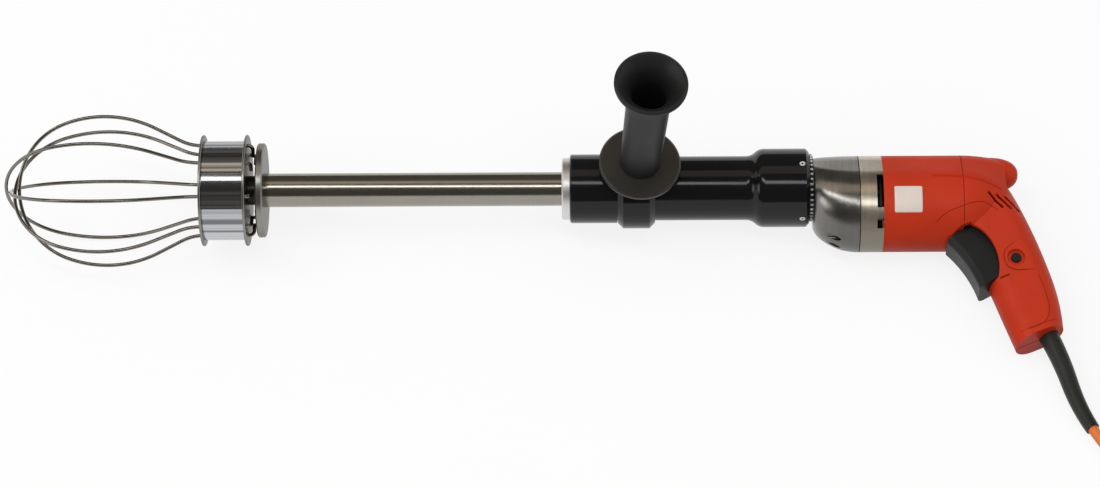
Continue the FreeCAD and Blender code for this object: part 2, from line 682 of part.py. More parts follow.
def side_handle_parts():
    """Swivelling ring, collar, stud and the hollow handle with its bell mouth."""
    inner = HOUSING_D / 2 + FIT
    outer, chamfer = HANDLE_RING_D / 2, HANDLE_RING_CHAMFER
    x0, x1 = HANDLE_RING_X, HANDLE_RING_X + HANDLE_RING_LENGTH
    base = COLLAR_FOOT + COLLAR_T
    hole = HANDLE_STUD_D / 2 + FIT
    handle_ring = turned([(x0, inner), (x0, outer - chamfer), (x0 + chamfer, outer), (x1 - chamfer, outer),
                          (x1, outer - chamfer), (x1, inner)])
    handle_ring = handle_ring.fuse(on_handle_axis(rod(inner / 2, COLLAR_FOOT, HANDLE_BOSS_D)))
    bore = rod(x0 - HANDLE_BOSS_D, x1 + HANDLE_BOSS_D, 2 * inner)
    handle_ring = handle_ring.cut([on_handle_axis(rod(0, base, 2 * hole)), bore])
    handle_ring = handle_ring.removeSplitter()
    rim = COLLAR_D / 2
    collar = turned([
        (COLLAR_FOOT, hole), (COLLAR_FOOT, rim - COLLAR_T / 3), (COLLAR_FOOT + COLLAR_T / 3, rim),
        (base - COLLAR_T / 4, rim), (base, rim - COLLAR_T / 4), (base, hole)])
    tip_room = 2 * GAP + HANDLE_STUD_D / 2 * math.sin(math.radians(HANDLE_LEAN))
    stud = rod(HOUSING_D / 2 + tip_room, base + HANDLE_STUD_HOLD, HANDLE_STUD_D)
    end = base + HANDLE_LENGTH
    neck = end - BELL_LENGTH
    lip = BELL_D / 2
    neck_r, bore_r = HANDLE_NECK_D / 2, HANDLE_BORE_D / 2
    stud_floor = base + HANDLE_STUD_HOLD + GAP
    handle = turned([
        (base, hole), (base, HANDLE_BASE_D / 2), (neck, neck_r),
        (neck + 0.62 * (BELL_LENGTH - BELL_LIP), neck_r + 0.36 * (lip - neck_r), "arc"),
        (end - BELL_LIP, lip), (end - BELL_LIP / 3, lip), (end, lip - BELL_LIP / 2), (end, lip - BELL_LIP),
        (neck + 0.6 * BELL_LENGTH, bore_r + 0.36 * (lip - BELL_LIP - bore_r), "arc"), (neck, bore_r),
        (base + HANDLE_FLOOR, bore_r), (base + HANDLE_FLOOR, 0), (stud_floor, 0), (stud_floor, hole)])
    return {
        "handle_ring": handle_ring,
        "handle_collar": on_handle_axis(collar),
        "handle_stud": on_handle_axis(stud),
        "side_handle": on_handle_axis(handle),
    }


def slab(x0, x1):
    """Large block between two planes across the drill axis."""
    return Part.makeBox(x1 - x0, 2 * FAR, 2 * FAR, Vector(x0, -FAR, -FAR))


def gear_case(inset):
    """Round nose and straight length of the gear case."""
    sections = []
    for along, grown in NOSE_GROWTH:
        top = (between(NOSE_R, SPINDLE_R, grown), 0.0)
        low = (between(NOSE_MOTOR_R, MOTOR_R, grown), between(-NOSE_DROP, MOTOR_Y, grown))
        sections.append(hull_wire(NOSE_TAPER * along, top, low, inset))
    return Part.makeLoft(sections, True, False).fuse(barrel(NOSE_TAPER, FLANGE_X, inset))


def gearbox_front():
    """Aluminium gear case with the neck that carries the bearing housing."""
    seat_end = -SPINDLE_BEARING_DEPTH
    bush_d = COUNTER_JOURNAL_D + 2 * BUSH_WALL
    outside = gear_case(0.0)
    room = gear_case(CAST_WALL).common(slab(CAST_WALL, FLANGE_X))
    case = outside.fuse([rod(-NECK_LENGTH, CAST_WALL, NECK_D), rod(-NECK_RING_T, 0, NECK_RING_D)]).cut(room)
    bosses = [rod(CAST_WALL / 2, BUSH_X + BUSH_LENGTH, bush_d + 2 * BUSH_WALL, COUNTER_Y, COUNTER_Z)]
    for y, z, seat in CASE_SCREWS:
        boss_d = CASE_BOSS_D if seat < CAST_WALL else CASE_HEAD_D + 2 * BUSH_WALL
        bosses.append(rod(CAST_WALL, FLANGE_X, boss_d, y, z).common(outside))
    case = case.fuse(bosses)
    holes = [
        rod(-NECK_LENGTH - 1, seat_end, SPINDLE_BEARING_OD),
        rod(seat_end - 1, CAST_WALL + 1, SPINDLE_COLLAR_D),
        rod(BUSH_X, BUSH_X + BUSH_LENGTH + 1, bush_d, COUNTER_Y, COUNTER_Z),
    ]
    for y, z, seat in CASE_SCREWS:
        holes.append(rod(-1, seat, CASE_HEAD_D + 2 * FIT, y, z))
        holes.append(rod(seat - 1, FLANGE_X + 1, CASE_SCREW_D + 2 * FIT, y, z))
    return case.cut(holes).removeSplitter()


def gearbox_flange():
    """Middle casting: partition with the rear bushes and front motor bearing, fan room and vents behind."""
    back = FLANGE_X + PARTITION_T
    boss_end = MOTOR_BEARING_X + MOTOR_BEARING_T
    body = barrel(FLANGE_X, BARREL_X).cut(barrel(back, BARREL_X + 1, CAST_WALL))
    body = body.fuse(rod(back - 1, boss_end, MOTOR_BEARING_OD + 2 * CAST_WALL, MOTOR_Y))
    holes = [
        rod(MOTOR_BEARING_X, boss_end + 1, MOTOR_BEARING_OD, MOTOR_Y),
        rod(FLANGE_X - 1, boss_end, MOTOR_SHAFT_D + 2 * CAST_WALL, MOTOR_Y),
        rod(FLANGE_X - 1, back + 1, SPINDLE_TAIL_D + 2 * BUSH_WALL),
        rod(FLANGE_X - 1, back + 1, COUNTER_JOURNAL_D + 2 * BUSH_WALL, COUNTER_Y, COUNTER_Z),
    ]
    for y, z, _ in CASE_SCREWS:
        holes.append(rod(FLANGE_X - 1, CASE_SCREW_END, CASE_SCREW_D, y, z))
    for low, high in FLANGE_VENTS:
        corner = Vector(BARREL_X - VENT_DEPTH, low, -2 * MOTOR_R)
        holes.append(Part.makeBox(VENT_DEPTH + 1, high - low, 4 * MOTOR_R, corner))
    return body.cut(holes).removeSplitter()


def gearbox_parts():
    """Gear case, flange, screws, bearing and bushes."""
    back = FLANGE_X + PARTITION_T
    bush_d = COUNTER_JOURNAL_D + 2 * BUSH_WALL
    bore = COUNTER_JOURNAL_D + 2 * FIT
    screws = []
    for y, z, seat in CASE_SCREWS:
        head = rod(seat - CASE_HEAD_T, seat, CASE_HEAD_D, y, z)
        screws.append(head.fuse(rod(seat, CASE_SCREW_END, CASE_SCREW_D, y, z)))
    bearing_x = -SPINDLE_BEARING_DEPTH - SPINDLE_BEARING_T
    return {
        "gearbox_front": gearbox_front(),
        "gearbox_flange": gearbox_flange(),
        "gearbox_screws": Part.makeCompound(screws),
        "spindle_bearing": bearing(bearing_x, SPINDLE_BEARING_T, SPINDLE_D, SPINDLE_BEARING_OD),
        "spindle_bush": ring(FLANGE_X, back, SPINDLE_TAIL_D + 2 * BUSH_WALL, SPINDLE_TAIL_D + 2 * FIT),
        "countershaft_bushes": Part.makeCompound([
            ring(BUSH_X, BUSH_X + BUSH_LENGTH, bush_d, bore, COUNTER_Y, COUNTER_Z),
            ring(FLANGE_X, back, bush_d, bore, COUNTER_Y, COUNTER_Z),
        ]),
    }


def gear_parts():
    """Output spindle and the two gear stages; the motor pinion is cut on the armature shaft."""
    out_heading = math.degrees(math.atan2(COUNTER_Z, COUNTER_Y))
    in_heading = math.degrees(math.atan2(-COUNTER_Z, MOTOR_Y - COUNTER_Y))
    nose = SPINDLE_END + NOSE_LENGTH + GAP
    step = COUPLING_X + COUPLING_LENGTH + GAP
    collar = OUT_GEAR_X - SPINDLE_COLLAR_T
    gear_end = OUT_GEAR_X + OUT_GEAR_T
    in_end = IN_GEAR_X + IN_GEAR_T
    tail = FLANGE_X + PARTITION_T - GAP
    nose_r, body_r, collar_r, tail_r = [
        d / 2 for d in (SPINDLE_NOSE_D, SPINDLE_D, SPINDLE_COLLAR_D, SPINDLE_TAIL_D)
    ]
    spindle = turned([(nose, 0), (nose, nose_r), (step, nose_r), (step, body_r), (collar, body_r),
                      (collar, collar_r), (OUT_GEAR_X, collar_r), (OUT_GEAR_X, body_r), (gear_end, body_r),
                      (gear_end, tail_r), (tail, tail_r), (tail, 0)])
    pinion_x = BUSH_X + BUSH_LENGTH + GAP
    pinion_end = gear_end + GAP
    half_tooth = 180 / OUT_PINION_TEETH
    counter = gear(pinion_x, pinion_end - pinion_x, OUT_PINION_TEETH, OUT_MODULE, 0, COUNTER_Y, COUNTER_Z,
                   out_heading + 180 + half_tooth)
    counter = counter.fuse([
        rod(BUSH_X + GAP, pinion_x, COUNTER_JOURNAL_D, COUNTER_Y, COUNTER_Z),
        rod(pinion_end, in_end, COUNTER_D, COUNTER_Y, COUNTER_Z),
        rod(in_end, tail, COUNTER_JOURNAL_D, COUNTER_Y, COUNTER_Z),
    ])
    motor_pinion_x = IN_GEAR_X - GAP
    motor_pinion_end = in_end + 1
    shaft = gear(motor_pinion_x, motor_pinion_end - motor_pinion_x, IN_PINION_TEETH, IN_MODULE, 0,
                 MOTOR_Y, 0.0, in_heading + 180 + 180 / IN_PINION_TEETH)
    in_gear = gear(IN_GEAR_X, IN_GEAR_T, IN_TEETH, IN_MODULE, COUNTER_D, COUNTER_Y, COUNTER_Z, in_heading)
    return {
        "output_spindle": spindle,
        "output_gear": gear(OUT_GEAR_X, OUT_GEAR_T, OUT_TEETH, OUT_MODULE, SPINDLE_D, 0.0, 0.0, out_heading),
        "countershaft": counter,
        "countershaft_gear": in_gear,
        "armature_shaft": shaft.fuse(rod(motor_pinion_end, SHAFT_END, MOTOR_SHAFT_D, MOTOR_Y)),
    }


def cooling_fan():
    """Fan wheel with straight blades in front of a back plate."""
    x1 = FAN_X + FAN_T
    plate_x = x1 - FAN_T / 4
    hub_d = 2.5 * MOTOR_SHAFT_D
    pieces = [ring(plate_x, x1, FAN_D, MOTOR_SHAFT_D, MOTOR_Y)]
    corner = Vector(FAN_X, MOTOR_Y + hub_d / 2 - 1, -BLADE_T / 2)
    for i in range(FAN_BLADES):
        blade = Part.makeBox(FAN_T, FAN_D / 2 - hub_d / 2, BLADE_T, corner)
        blade.rotate(Vector(0, MOTOR_Y, 0), Vector(1, 0, 0), i * 360 / FAN_BLADES)
        pieces.append(blade)
    return ring(FAN_X, x1, hub_d, MOTOR_SHAFT_D, MOTOR_Y).fuse(pieces).removeSplitter()


def brush_box(side, width, thick, z0, z1):
    """Block beside the commutator, on the side given by its sign."""
    x = COMMUTATOR_X + (COMMUTATOR_LENGTH - width) / 2
    low = z0 if side > 0 else -z1
    return Part.makeBox(width, thick, z1 - z0, Vector(x, MOTOR_Y - thick / 2, low))


def motor_housing():
    """Barrel of the motor with the ridge on top, the rear bridge and its bearing boss."""
    bridge = SHELL_X - BRIDGE_T
    boss_end = REAR_MOTOR_BEARING_X + MOTOR_BEARING_T
    ridge = rod(BARREL_X, SHELL_X, 2 * RIDGE_R, RIDGE_LEVEL)
    body = barrel(BARREL_X, SHELL_X).fuse(ridge).cut(barrel(BARREL_X - 1, bridge, MOULD_WALL))
    body = body.fuse(rod(bridge, boss_end, MOTOR_BEARING_OD + 2 * MOULD_WALL, MOTOR_Y))
    return body.cut([
        rod(REAR_MOTOR_BEARING_X, boss_end + 1, MOTOR_BEARING_OD, MOTOR_Y),
        rod(bridge - 1, boss_end, MOTOR_SHAFT_D + 2 * MOULD_WALL, MOTOR_Y),
        trigger_room(),
    ]).removeSplitter()


def motor_parts():
    """Motor housing, stator, armature, bearings and brushes."""
    inside = MOTOR_R - MOULD_WALL
    holder_width = BRUSH_WIDTH + 2 * HOLDER_WALL
    holder_thick = BRUSH_THICK + 2 * HOLDER_WALL
    holder_top = math.sqrt(inside**2 - (holder_thick / 2) ** 2) - FIT
    brush_foot = COMMUTATOR_D / 2 + GAP
    holders, brushes = [], []
    for side in (1, -1):
        holder = brush_box(side, holder_width, holder_thick, brush_foot + 2, holder_top)
        width, thick = BRUSH_WIDTH + 2 * FIT, BRUSH_THICK + 2 * FIT
        channel = brush_box(side, width, thick, brush_foot, holder_top - HOLDER_WALL)
        holders.append(holder.cut(channel))
        brushes.append(brush_box(side, BRUSH_WIDTH, BRUSH_THICK, brush_foot, brush_foot + BRUSH_LENGTH))
    ends = ((STACK_X - COIL_T, STACK_X), (STACK_END, STACK_END + COIL_T))
    coils = [ring(a, b, COIL_OUTER_D, COIL_INNER_D, MOTOR_Y) for a, b in ends]
    windings = [ring(a, b, WINDING_D, MOTOR_SHAFT_D, MOTOR_Y) for a, b in ends]
    front_bearing, rear_bearing = [
        bearing(x, MOTOR_BEARING_T, MOTOR_SHAFT_D, MOTOR_BEARING_OD, MOTOR_Y)
        for x in (MOTOR_BEARING_X, REAR_MOTOR_BEARING_X)
    ]
    commutator_end = COMMUTATOR_X + COMMUTATOR_LENGTH
    return {
        "motor_housing": motor_housing(),
        "stator_core": ring(STACK_X, STACK_END, 2 * (inside - FIT), ARMATURE_D + 2 * AIR_GAP, MOTOR_Y),
        "field_coils": Part.makeCompound(coils),
        "motor_front_bearing": front_bearing,
        "motor_rear_bearing": rear_bearing,
        "armature_core": ring(STACK_X, STACK_END, ARMATURE_D, MOTOR_SHAFT_D, MOTOR_Y),
        "armature_winding": Part.makeCompound(windings),
        "commutator": ring(COMMUTATOR_X, commutator_end, COMMUTATOR_D, MOTOR_SHAFT_D, MOTOR_Y),
        "cooling_fan": cooling_fan(),
        "brush_holders": Part.makeCompound(holders),
        "carbon_brushes": Part.makeCompound(brushes),
    }


def stadium(level, front, rear, half):
    """Outline with round front and back on a plane across the grip."""
    a, b = Vector(front + half, level, half), Vector(rear - half, level, half)
    c, d = Vector(rear - half, level, -half), Vector(front + half, level, -half)
    return Part.Wire([
        Part.makeLine(a, b),
        Part.Arc(b, Vector(rear, level, 0), c).toShape(),
        Part.makeLine(c, d),
        Part.Arc(d, Vector(front, level, 0), a).toShape(),
    ])


def grip_axis():
    """Direction of the grip away from the motor."""
    tilt = math.radians(GRIP_TILT)
    return Vector(math.sin(tilt), -math.cos(tilt), 0)


def rear_sections(inset):
    """Sections of the rear of the tool, which leaves the barrel without a kink."""
    sections = []
    for step in range(REAR_STEPS):
        along = step / (REAR_STEPS - 1)
        shrunk = along**2
        top = (between(SPINDLE_R, REAR_TOP[0], shrunk), between(0.0, REAR_TOP[1], shrunk))
        low = (between(MOTOR_R, REAR_LOW[0], shrunk), between(MOTOR_Y, REAR_LOW[1], shrunk))
        sections.append(hull_wire(SHELL_X + (REAR_LENGTH - inset) * along, top, low, inset))
    return sections


def ridge(inset):
    """Ridge along the top that ends in a round beak."""
    circles = []
    for behind, radius in RIDGE:
        middle = Vector(SHELL_X + behind, RIDGE_LEVEL, 0)
        circles.append(Part.Wire(Part.Circle(middle, Vector(1, 0, 0), radius - inset).toShape()))
    beak = Part.makeSphere(BEAK_R - inset, Vector(SHELL_X + BEAK_BEHIND, RIDGE_LEVEL, 0))
    return Part.makeLoft(circles, True, False).fuse(beak)


def handle_form(inset):
    """Rear of the tool and the grip, cut off square at the grip's end."""
    sections = [stadium(y, front + inset, rear - inset, half - inset) for y, front, rear, half in GRIP_LEVELS]
    form = Part.makeLoft(rear_sections(inset), True, False).fuse([
        ridge(inset),
        Part.makeLoft(sections, True, False),
    ])
    foot = Vector(GRIP_END[0], GRIP_END[1], 0) - grip_axis() * inset
    beyond = Part.makeCylinder(FAR, FAR, foot, grip_axis())
    return form.common(slab(SHELL_X, FAR)).cut(beyond)


def trigger_axes():
    """Middle of the trigger's front chord, its travel direction and the direction up its front."""
    top, foot = Vector(*TRIGGER_TOP, 0), Vector(*TRIGGER_FOOT, 0)
    up = (top - foot).normalize()
    return (top + foot) * 0.5, Vector(up.y, -up.x, 0), up


def on_travel(depth, height, half, start):
    """Block along the trigger's travel, centred on the trigger's middle."""
    origin, travel, up = trigger_axes()
    block = Part.makeBox(depth, height, 2 * half, Vector(start, -height / 2, -half))
    block.Placement = FreeCAD.Placement(origin, FreeCAD.Rotation(travel, up, Vector(0, 0, 1), "XYZ"))
    return block


def trigger_outline():
    """Side outline of the shown part of the trigger."""
    top, mid, foot, back, peak, brow = [
        Vector(*p, 0)
        for p in (TRIGGER_TOP, TRIGGER_MID, TRIGGER_FOOT, TRIGGER_BACK, TRIGGER_PEAK, TRIGGER_BROW)
    ]
    heel = foot + trigger_axes()[1] * TRIGGER_DEPTH
    return Part.Wire([
        Part.Arc(top, mid, foot).toShape(),
        Part.makeLine(foot, heel),
        Part.Arc(heel, back, peak).toShape(),
        Part.Arc(peak, brow, top).toShape(),
    ])


def prism(outline, half, offset):
    """Solid of an outline to both sides of the middle plane, moved by an offset."""
    solid = Part.Face(outline).extrude(Vector(0, 0, 2 * half))
    solid.translate(offset - Vector(0, 0, half))
    return solid


def trigger_room():
    """Window of the trigger through the sides and the space it sweeps inside."""
    travel = trigger_axes()[1]
    outline = trigger_outline().makeOffset2D(WINDOW_GAP)
    reach = TRIGGER_LAP + TRIGGER_TRAVEL + WINDOW_GAP
    steps = 5
    room = [prism(outline, TRIGGER_HALF + GAP, travel * (reach * k / steps)) for k in range(1, steps + 1)]
    return prism(outline, 3 * TRIGGER_HALF, Vector(0, 0, 0)).fuse(room)


def trigger_parts():
    """Trigger with its stem, switch and lock button."""
    travel = trigger_axes()[1]
    shown = prism(trigger_outline(), TRIGGER_HALF, Vector(0, 0, 0))
    front = [e for e in shown.Edges
             if e.Length > TRIGGER_DEPTH and abs(abs(e.CenterOfMass.z) - TRIGGER_HALF) < FIT
             and e.distToShape(Part.Vertex(*TRIGGER_MID, e.CenterOfMass.z))[0] < FIT]
    shown = shown.makeFillet(TRIGGER_ROUND, front)
    inner_start = TRIGGER_ROUND + TRIGGER_DEPTH / 2
    inner = on_travel(TRIGGER_BODY_END - TRIGGER_ROUND, TRIGGER_BODY_HEIGHT, TRIGGER_HALF, inner_start)
    stem_start = TRIGGER_DEPTH
    stem = on_travel(SWITCH_FROM_FRONT + STEM - stem_start, STEM, STEM / 2, stem_start)
    switch = on_travel(SWITCH_DEPTH, SWITCH_HEIGHT, SWITCH_HALF, SWITCH_FROM_FRONT)
    guide_half = STEM / 2 + GAP
    guide = on_travel(STEM + TRIGGER_TRAVEL + 2 * GAP + 1, 2 * guide_half, guide_half, SWITCH_FROM_FRONT - 1)
    lap = prism(trigger_outline(), TRIGGER_HALF, travel * TRIGGER_LAP)
    button = along_z(LOCK_AT, LOCK_D, LOCK_FLANGE[0], LOCK_TOP)
    button = button.fuse(along_z(LOCK_AT, LOCK_FLANGE_D, *LOCK_FLANGE))
    return {
        "trigger": shown.fuse([lap.common(inner), stem]).removeSplitter(),
        "switch_body": switch.cut(guide),
        "lock_button": button.removeSplitter(),
    }


def along_z(at, d, z0, z1):
    """Round bar across the grip."""
    return Part.makeCylinder(d / 2, z1 - z0, Vector(at[0], at[1], z0))


def relief_foot():
    """Place where the strain relief leaves the grip's end face."""
    axis = grip_axis()
    across = Vector(-axis.y, axis.x, 0)
    return Vector(GRIP_END[0], GRIP_END[1], 0) + across * RELIEF_FROM_MIDDLE


def vent_slot(index):
    """Slanted slot through both sides of the rear of the tool."""
    slot = Part.makeBox(SLOT_LENGTH, SLOT_WIDTH, 2 * FAR, Vector(-SLOT_LENGTH / 2, -SLOT_WIDTH / 2, -FAR))
    slot.rotate(Vector(0, 0, 0), Vector(0, 0, 1), SLOT_SLANT)
    slot.translate(Vector(SLOT_AT[0] + index * SLOT_PITCH, SLOT_AT[1], 0))
    return slot


def shell_parts():
    """The two halves of the grip and the screws that join them."""
    outer = handle_form(0.0)
    extras = [along_z(at, BOSS_D, -FAR, FAR).common(outer) for at in SHELL_SCREWS]
    switch_room = on_travel(2 * SWITCH_DEPTH, 2 * SWITCH_HEIGHT, SWITCH_HALF, SWITCH_FROM_FRONT)
    for height in (-RIB_OFFSET, RIB_OFFSET):
        rib = on_travel(SWITCH_DEPTH - 2 * RIB_T, RIB_T, FAR, SWITCH_FROM_FRONT + RIB_T)
        rib.translate(trigger_axes()[2] * height)
        extras.append(rib.common(outer).cut(switch_room))
    axis = grip_axis()
    relief_start = relief_foot() - axis * (2 * MOULD_WALL)
    holes = [
        trigger_room(),
        Part.makeCylinder(RELIEF_ROOT_D / 2 + FIT, 4 * MOULD_WALL, relief_start, axis),
        along_z(LOCK_AT, LOCK_D + 2 * GAP, SWITCH_HALF, FAR),
        along_z(LOCK_AT, LOCK_DISH_D, LOCK_SEAT, FAR),
    ]
    holes += [vent_slot(i) for i in range(SLOTS)]
    screws = []
    for at in SHELL_SCREWS:
        holes.append(along_z(at, SCREW_D + 2 * FIT, -FAR, SCREW_END + GAP))
        holes.append(along_z(at, SCREW_HEAD_D + 2 * GAP, -FAR, SCREW_SEAT))
        shank = along_z(at, SCREW_D, SCREW_SEAT, SCREW_END)
        screws.append(along_z(at, SCREW_HEAD_D, SCREW_SEAT - SCREW_HEAD_T, SCREW_SEAT).fuse(shank))
    shell = outer.cut(handle_form(MOULD_WALL)).fuse(extras).cut(holes)
    half = Part.makeBox(2 * FAR, 2 * FAR, FAR, Vector(-FAR, -FAR, 0))
    return {
        "handle_shell_left": shell.common(half).removeSplitter(),
        "handle_shell_right": shell.cut(half).removeSplitter(),
        "shell_screws": Part.makeCompound(screws),
    }


def laid_placement():
    """Placement that lays the tool on the table, Z up."""
    along = (Vector(1, 0, 0) - NORMAL * NORMAL.x).normalize()
    turn = FreeCAD.Rotation(along, NORMAL.cross(along), NORMAL, "ZXY").inverted()
    return FreeCAD.Placement(Vector(0, 0, AXIS_HEIGHT), turn)


LAID = laid_placement()


def laid(shape):
    """A piece of the tool, moved to the table."""
    copy = shape.copy()
    copy.Placement = LAID.multiply(copy.Placement)
    return copy


def relief_path():
    """Arcs of the strain relief on the table, its end and the heading there."""
    start = LAID.multVec(relief_foot())
    end = Vector(start.x + RELIEF_REACH[0], start.y + RELIEF_REACH[1], RELIEF_TIP_D / 2 + RELIEF_TIP_ABOVE)
    heading = Vector(*RELIEF_TIP_HEADING, 0).normalize()
    return biarc(start, LAID.Rotation.multVec(grip_axis()), end, heading), end, heading


def strain_relief():
    """Tapered sleeve on the cord with a collar behind the grip's end wall."""
    edges = relief_path()[0]
    total = sum(e.Length for e in edges)
    steps = 6
    sections = []
    done = 0.0
    for number, edge in enumerate(edges):
        for k in range(0 if number == 0 else 1, steps + 1):
            u = edge.FirstParameter + (edge.LastParameter - edge.FirstParameter) * k / steps
            share = (done + edge.Length * k / steps) / total
            radius = (RELIEF_ROOT_D + (RELIEF_TIP_D - RELIEF_ROOT_D) * share) / 2
            sections.append(Part.Wire(Part.Circle(edge.valueAt(u), edge.tangentAt(u), radius).toShape()))
        done += edge.Length
    foot, axis = relief_foot(), grip_axis()
    neck = Part.makeCylinder(RELIEF_ROOT_D / 2, MOULD_WALL, foot - axis * MOULD_WALL, axis)
    collar_start = foot - axis * (MOULD_WALL + RELIEF_COLLAR_T)
    collar = Part.makeCylinder(RELIEF_COLLAR_D / 2, RELIEF_COLLAR_T, collar_start, axis)
    return Part.makeLoft(sections, True, False).fuse([laid(neck), laid(collar)]).removeSplitter()


def coil_nodes(centre):
    """Point and tangent of the coil at each quarter turn, spiralling in and out layer by layer."""
    outer = COIL_MIDDLE_R + COIL_TURNS * COIL_PITCH / 2
    foot = CORD_D / 2 + TIE_T + GAP
    quarters = 4 * COIL_TURNS
    last = COIL_LAYERS * quarters
    nodes = []
    for i in range(last + 1):
        layer, step = divmod(i, quarters)
        inwards = layer % 2 == 0
        turning = step == 0 and 0 < i < last
        radius = outer - COIL_PITCH * (step / 4 if inwards else COIL_TURNS - step / 4)
        rate = 0.0 if turning else (-COIL_PITCH if inwards else COIL_PITCH)
        if i == last:
            radius, rate = (outer, COIL_PITCH) if inwards else (outer - COIL_PITCH * COIL_TURNS, -COIL_PITCH)
        level = min(layer, COIL_LAYERS - 1) - (0.5 if turning else 0.0)
        angle = math.radians(-90 + 90 * i)
        out = Vector(math.cos(angle), math.sin(angle), 0)
        round_way = Vector(-out.y, out.x, 0)
        climb = 3 * COIL_PITCH if turning else 0.0
        tangent = (out * rate + round_way * (2 * math.pi * radius) + Vector(0, 0, climb)).normalize()
        nodes.append((centre + out * radius + Vector(0, 0, foot + level * COIL_PITCH), tangent))
    return nodes


def least_gap(path):
    """Smallest distance between the surfaces of different turns, on points along the path."""
    step = CORD_D / 2
    points = path.discretize(Distance=step)
    apart = int(4 * CORD_D / step)
    nearest = min((p - q).Length for i, p in enumerate(points) for q in points[i + apart:])
    return nearest - CORD_D


def cord_centre():
    """Middle of the coil on the table."""
    end = relief_path()[1]
    return Vector(end.x + COIL_FROM_RELIEF[0], end.y + COIL_FROM_RELIEF[1], 0)


def cord_routes():
    """Points of the lead and of the tail, and the edges of the coil between them."""
    _, tip, heading = relief_path()
    centre = cord_centre()
    nodes = coil_nodes(centre)
    first, first_way = nodes[0]
    last, last_way = nodes[-1]
    start = first - first_way * CORD_D
    stop = last + last_way * CORD_D
    edges = [Part.makeLine(start, first)]
    for (p0, t0), (p1, t1) in zip(nodes, nodes[1:]):
        edges += biarc(p0, t0, p1, t1)
    edges.append(Part.makeLine(last, stop))
    floor = CORD_D / 2 + FIT
    lead = [tip, tip + heading * LEAD_START]
    lead += [Vector(tip.x + x, tip.y + y, floor) for x, y in LEAD_TURNS]
    lead += [start - first_way * LEAD_END, start]
    tail = [stop, stop + last_way * TAIL_START]
    tail += [Vector(centre.x + x, centre.y + y, z) for x, y, z in TAIL_TURNS]
    return lead, edges, tail


def cord_tie():
    """Flat strap round the bundle, opposite the side where the layers change."""
    middle = cord_centre()
    outer = COIL_MIDDLE_R + COIL_TURNS * COIL_PITCH / 2
    inner_r = outer - COIL_PITCH * (COIL_TURNS - 0.5) - CORD_D / 2
    outer_r = outer - COIL_PITCH / 2 + CORD_D / 2
    y0, y1 = inner_r - TIE_ROOM, outer_r + TIE_ROOM
    height = CORD_D + (COIL_LAYERS - 1) * COIL_PITCH + 2 * GAP
    hole = Part.makeBox(2 * TIE_WIDTH, y1 - y0, height, Vector(-TIE_WIDTH, y0, TIE_T))
    corner = Vector(-TIE_WIDTH / 2, y0 - TIE_T, 0)
    strap = Part.makeBox(TIE_WIDTH, y1 - y0 + 2 * TIE_T, height + 2 * TIE_T, corner).cut(hole)
    strap.translate(middle)
    return strap


def flat_oval(x, width, height):
    """Outline with round sides on plane X."""
    r = height / 2
    side = max(width / 2 - r, 0.05)
    a, b = Vector(x, -side, r), Vector(x, side, r)
    c, d = Vector(x, side, -r), Vector(x, -side, -r)
    return Part.Wire([
        Part.makeLine(a, b),
        Part.Arc(b, Vector(x, side + r, 0), c).toShape(),
        Part.makeLine(c, d),
        Part.Arc(d, Vector(x, -side - r, 0), a).toShape(),
    ])


def plug_placement(tail):
    """Placement of the plug on the end of the tail."""
    way = tail[-1] - tail[-2]
    heading = math.degrees(math.atan2(way.y, way.x))
    return FreeCAD.Placement(tail[-1], FreeCAD.Rotation(Vector(0, 0, 1), heading))


def cord_parts():
    """Strain relief, cord, tie and plug, made on the table."""
    lead, coil, tail = cord_routes()
    lead_edges, lead_radii = rounded_route(lead)
    tail_edges, tail_radii = rounded_route(tail)
    print("bend radii", [round(r) for r in lead_radii + tail_radii])
    print("coil self gap %.2f" % least_gap(Part.Wire(Part.sortEdges(coil)[0])))
    face = PLUG_BODY - PLUG_FACE_T
    outline = flat_oval(face, PLUG_WIDTH, PLUG_HEIGHT)
    body = Part.makeLoft([flat_oval(0, PLUG_NECK, PLUG_NECK), outline], True, True)
    body = body.fuse(Part.Face(outline).extrude(Vector(PLUG_FACE_T, 0, 0)))
    pins = [rod(PLUG_BODY, PLUG_BODY + PIN_LENGTH, PIN_D, side * PIN_SPACING / 2) for side in (1, -1)]
    place = plug_placement(tail)
    parts = {
        "strain_relief": strain_relief(),
        "cord_lead": tube_along(lead_edges, CORD_D),
        "cord_coil": tube_along(coil, CORD_D),
        "cord_tail": tube_along(tail_edges, CORD_D),
        "cord_tie": cord_tie(),
        "mains_plug": body.removeSplitter(),
        "plug_pins": Part.makeCompound(pins),
    }
    for name in ("mains_plug", "plug_pins"):
        parts[name].Placement = place.multiply(parts[name].Placement)
    return parts


CORD_NODES = ("cord_lead", "cord_coil", "cord_tail", "cord_tie", "mains_plug", "plug_pins")


def assembly():
    """All pieces on the table, centred on the tool, and the shift that centred them."""
    parts = {}
    for maker in (whisk_parts, shaft_parts, housing_parts, side_handle_parts, gearbox_parts, gear_parts,
                  motor_parts, trigger_parts, shell_parts):
        parts.update({name: laid(shape) for name, shape in maker().items()})
    parts.update(cord_parts())
    tool = Part.makeCompound([shape for name, shape in parts.items() if name not in CORD_NODES])
    box = tool.optimalBoundingBox(False, False)
    shift = Vector(-box.Center.x, -box.Center.y, -box.ZMin)
    for shape in parts.values():
        shape.translate(shift)
    print("tool box", [round(v, 2) for v in (box.XLength, box.YLength, box.ZLength, box.ZMin)])
    return parts, shift


if __name__ == "__main__":
    os.makedirs("parts", exist_ok=True)
    for name, shape in assembly()[0].items():
        print(name, shape.isValid(), len(shape.Solids), round(shape.Volume))
        shape.exportStep("parts/%s.step" % name)
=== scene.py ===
"""Looks of the mixing drill: finishes, small fittings, cord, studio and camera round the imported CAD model."""

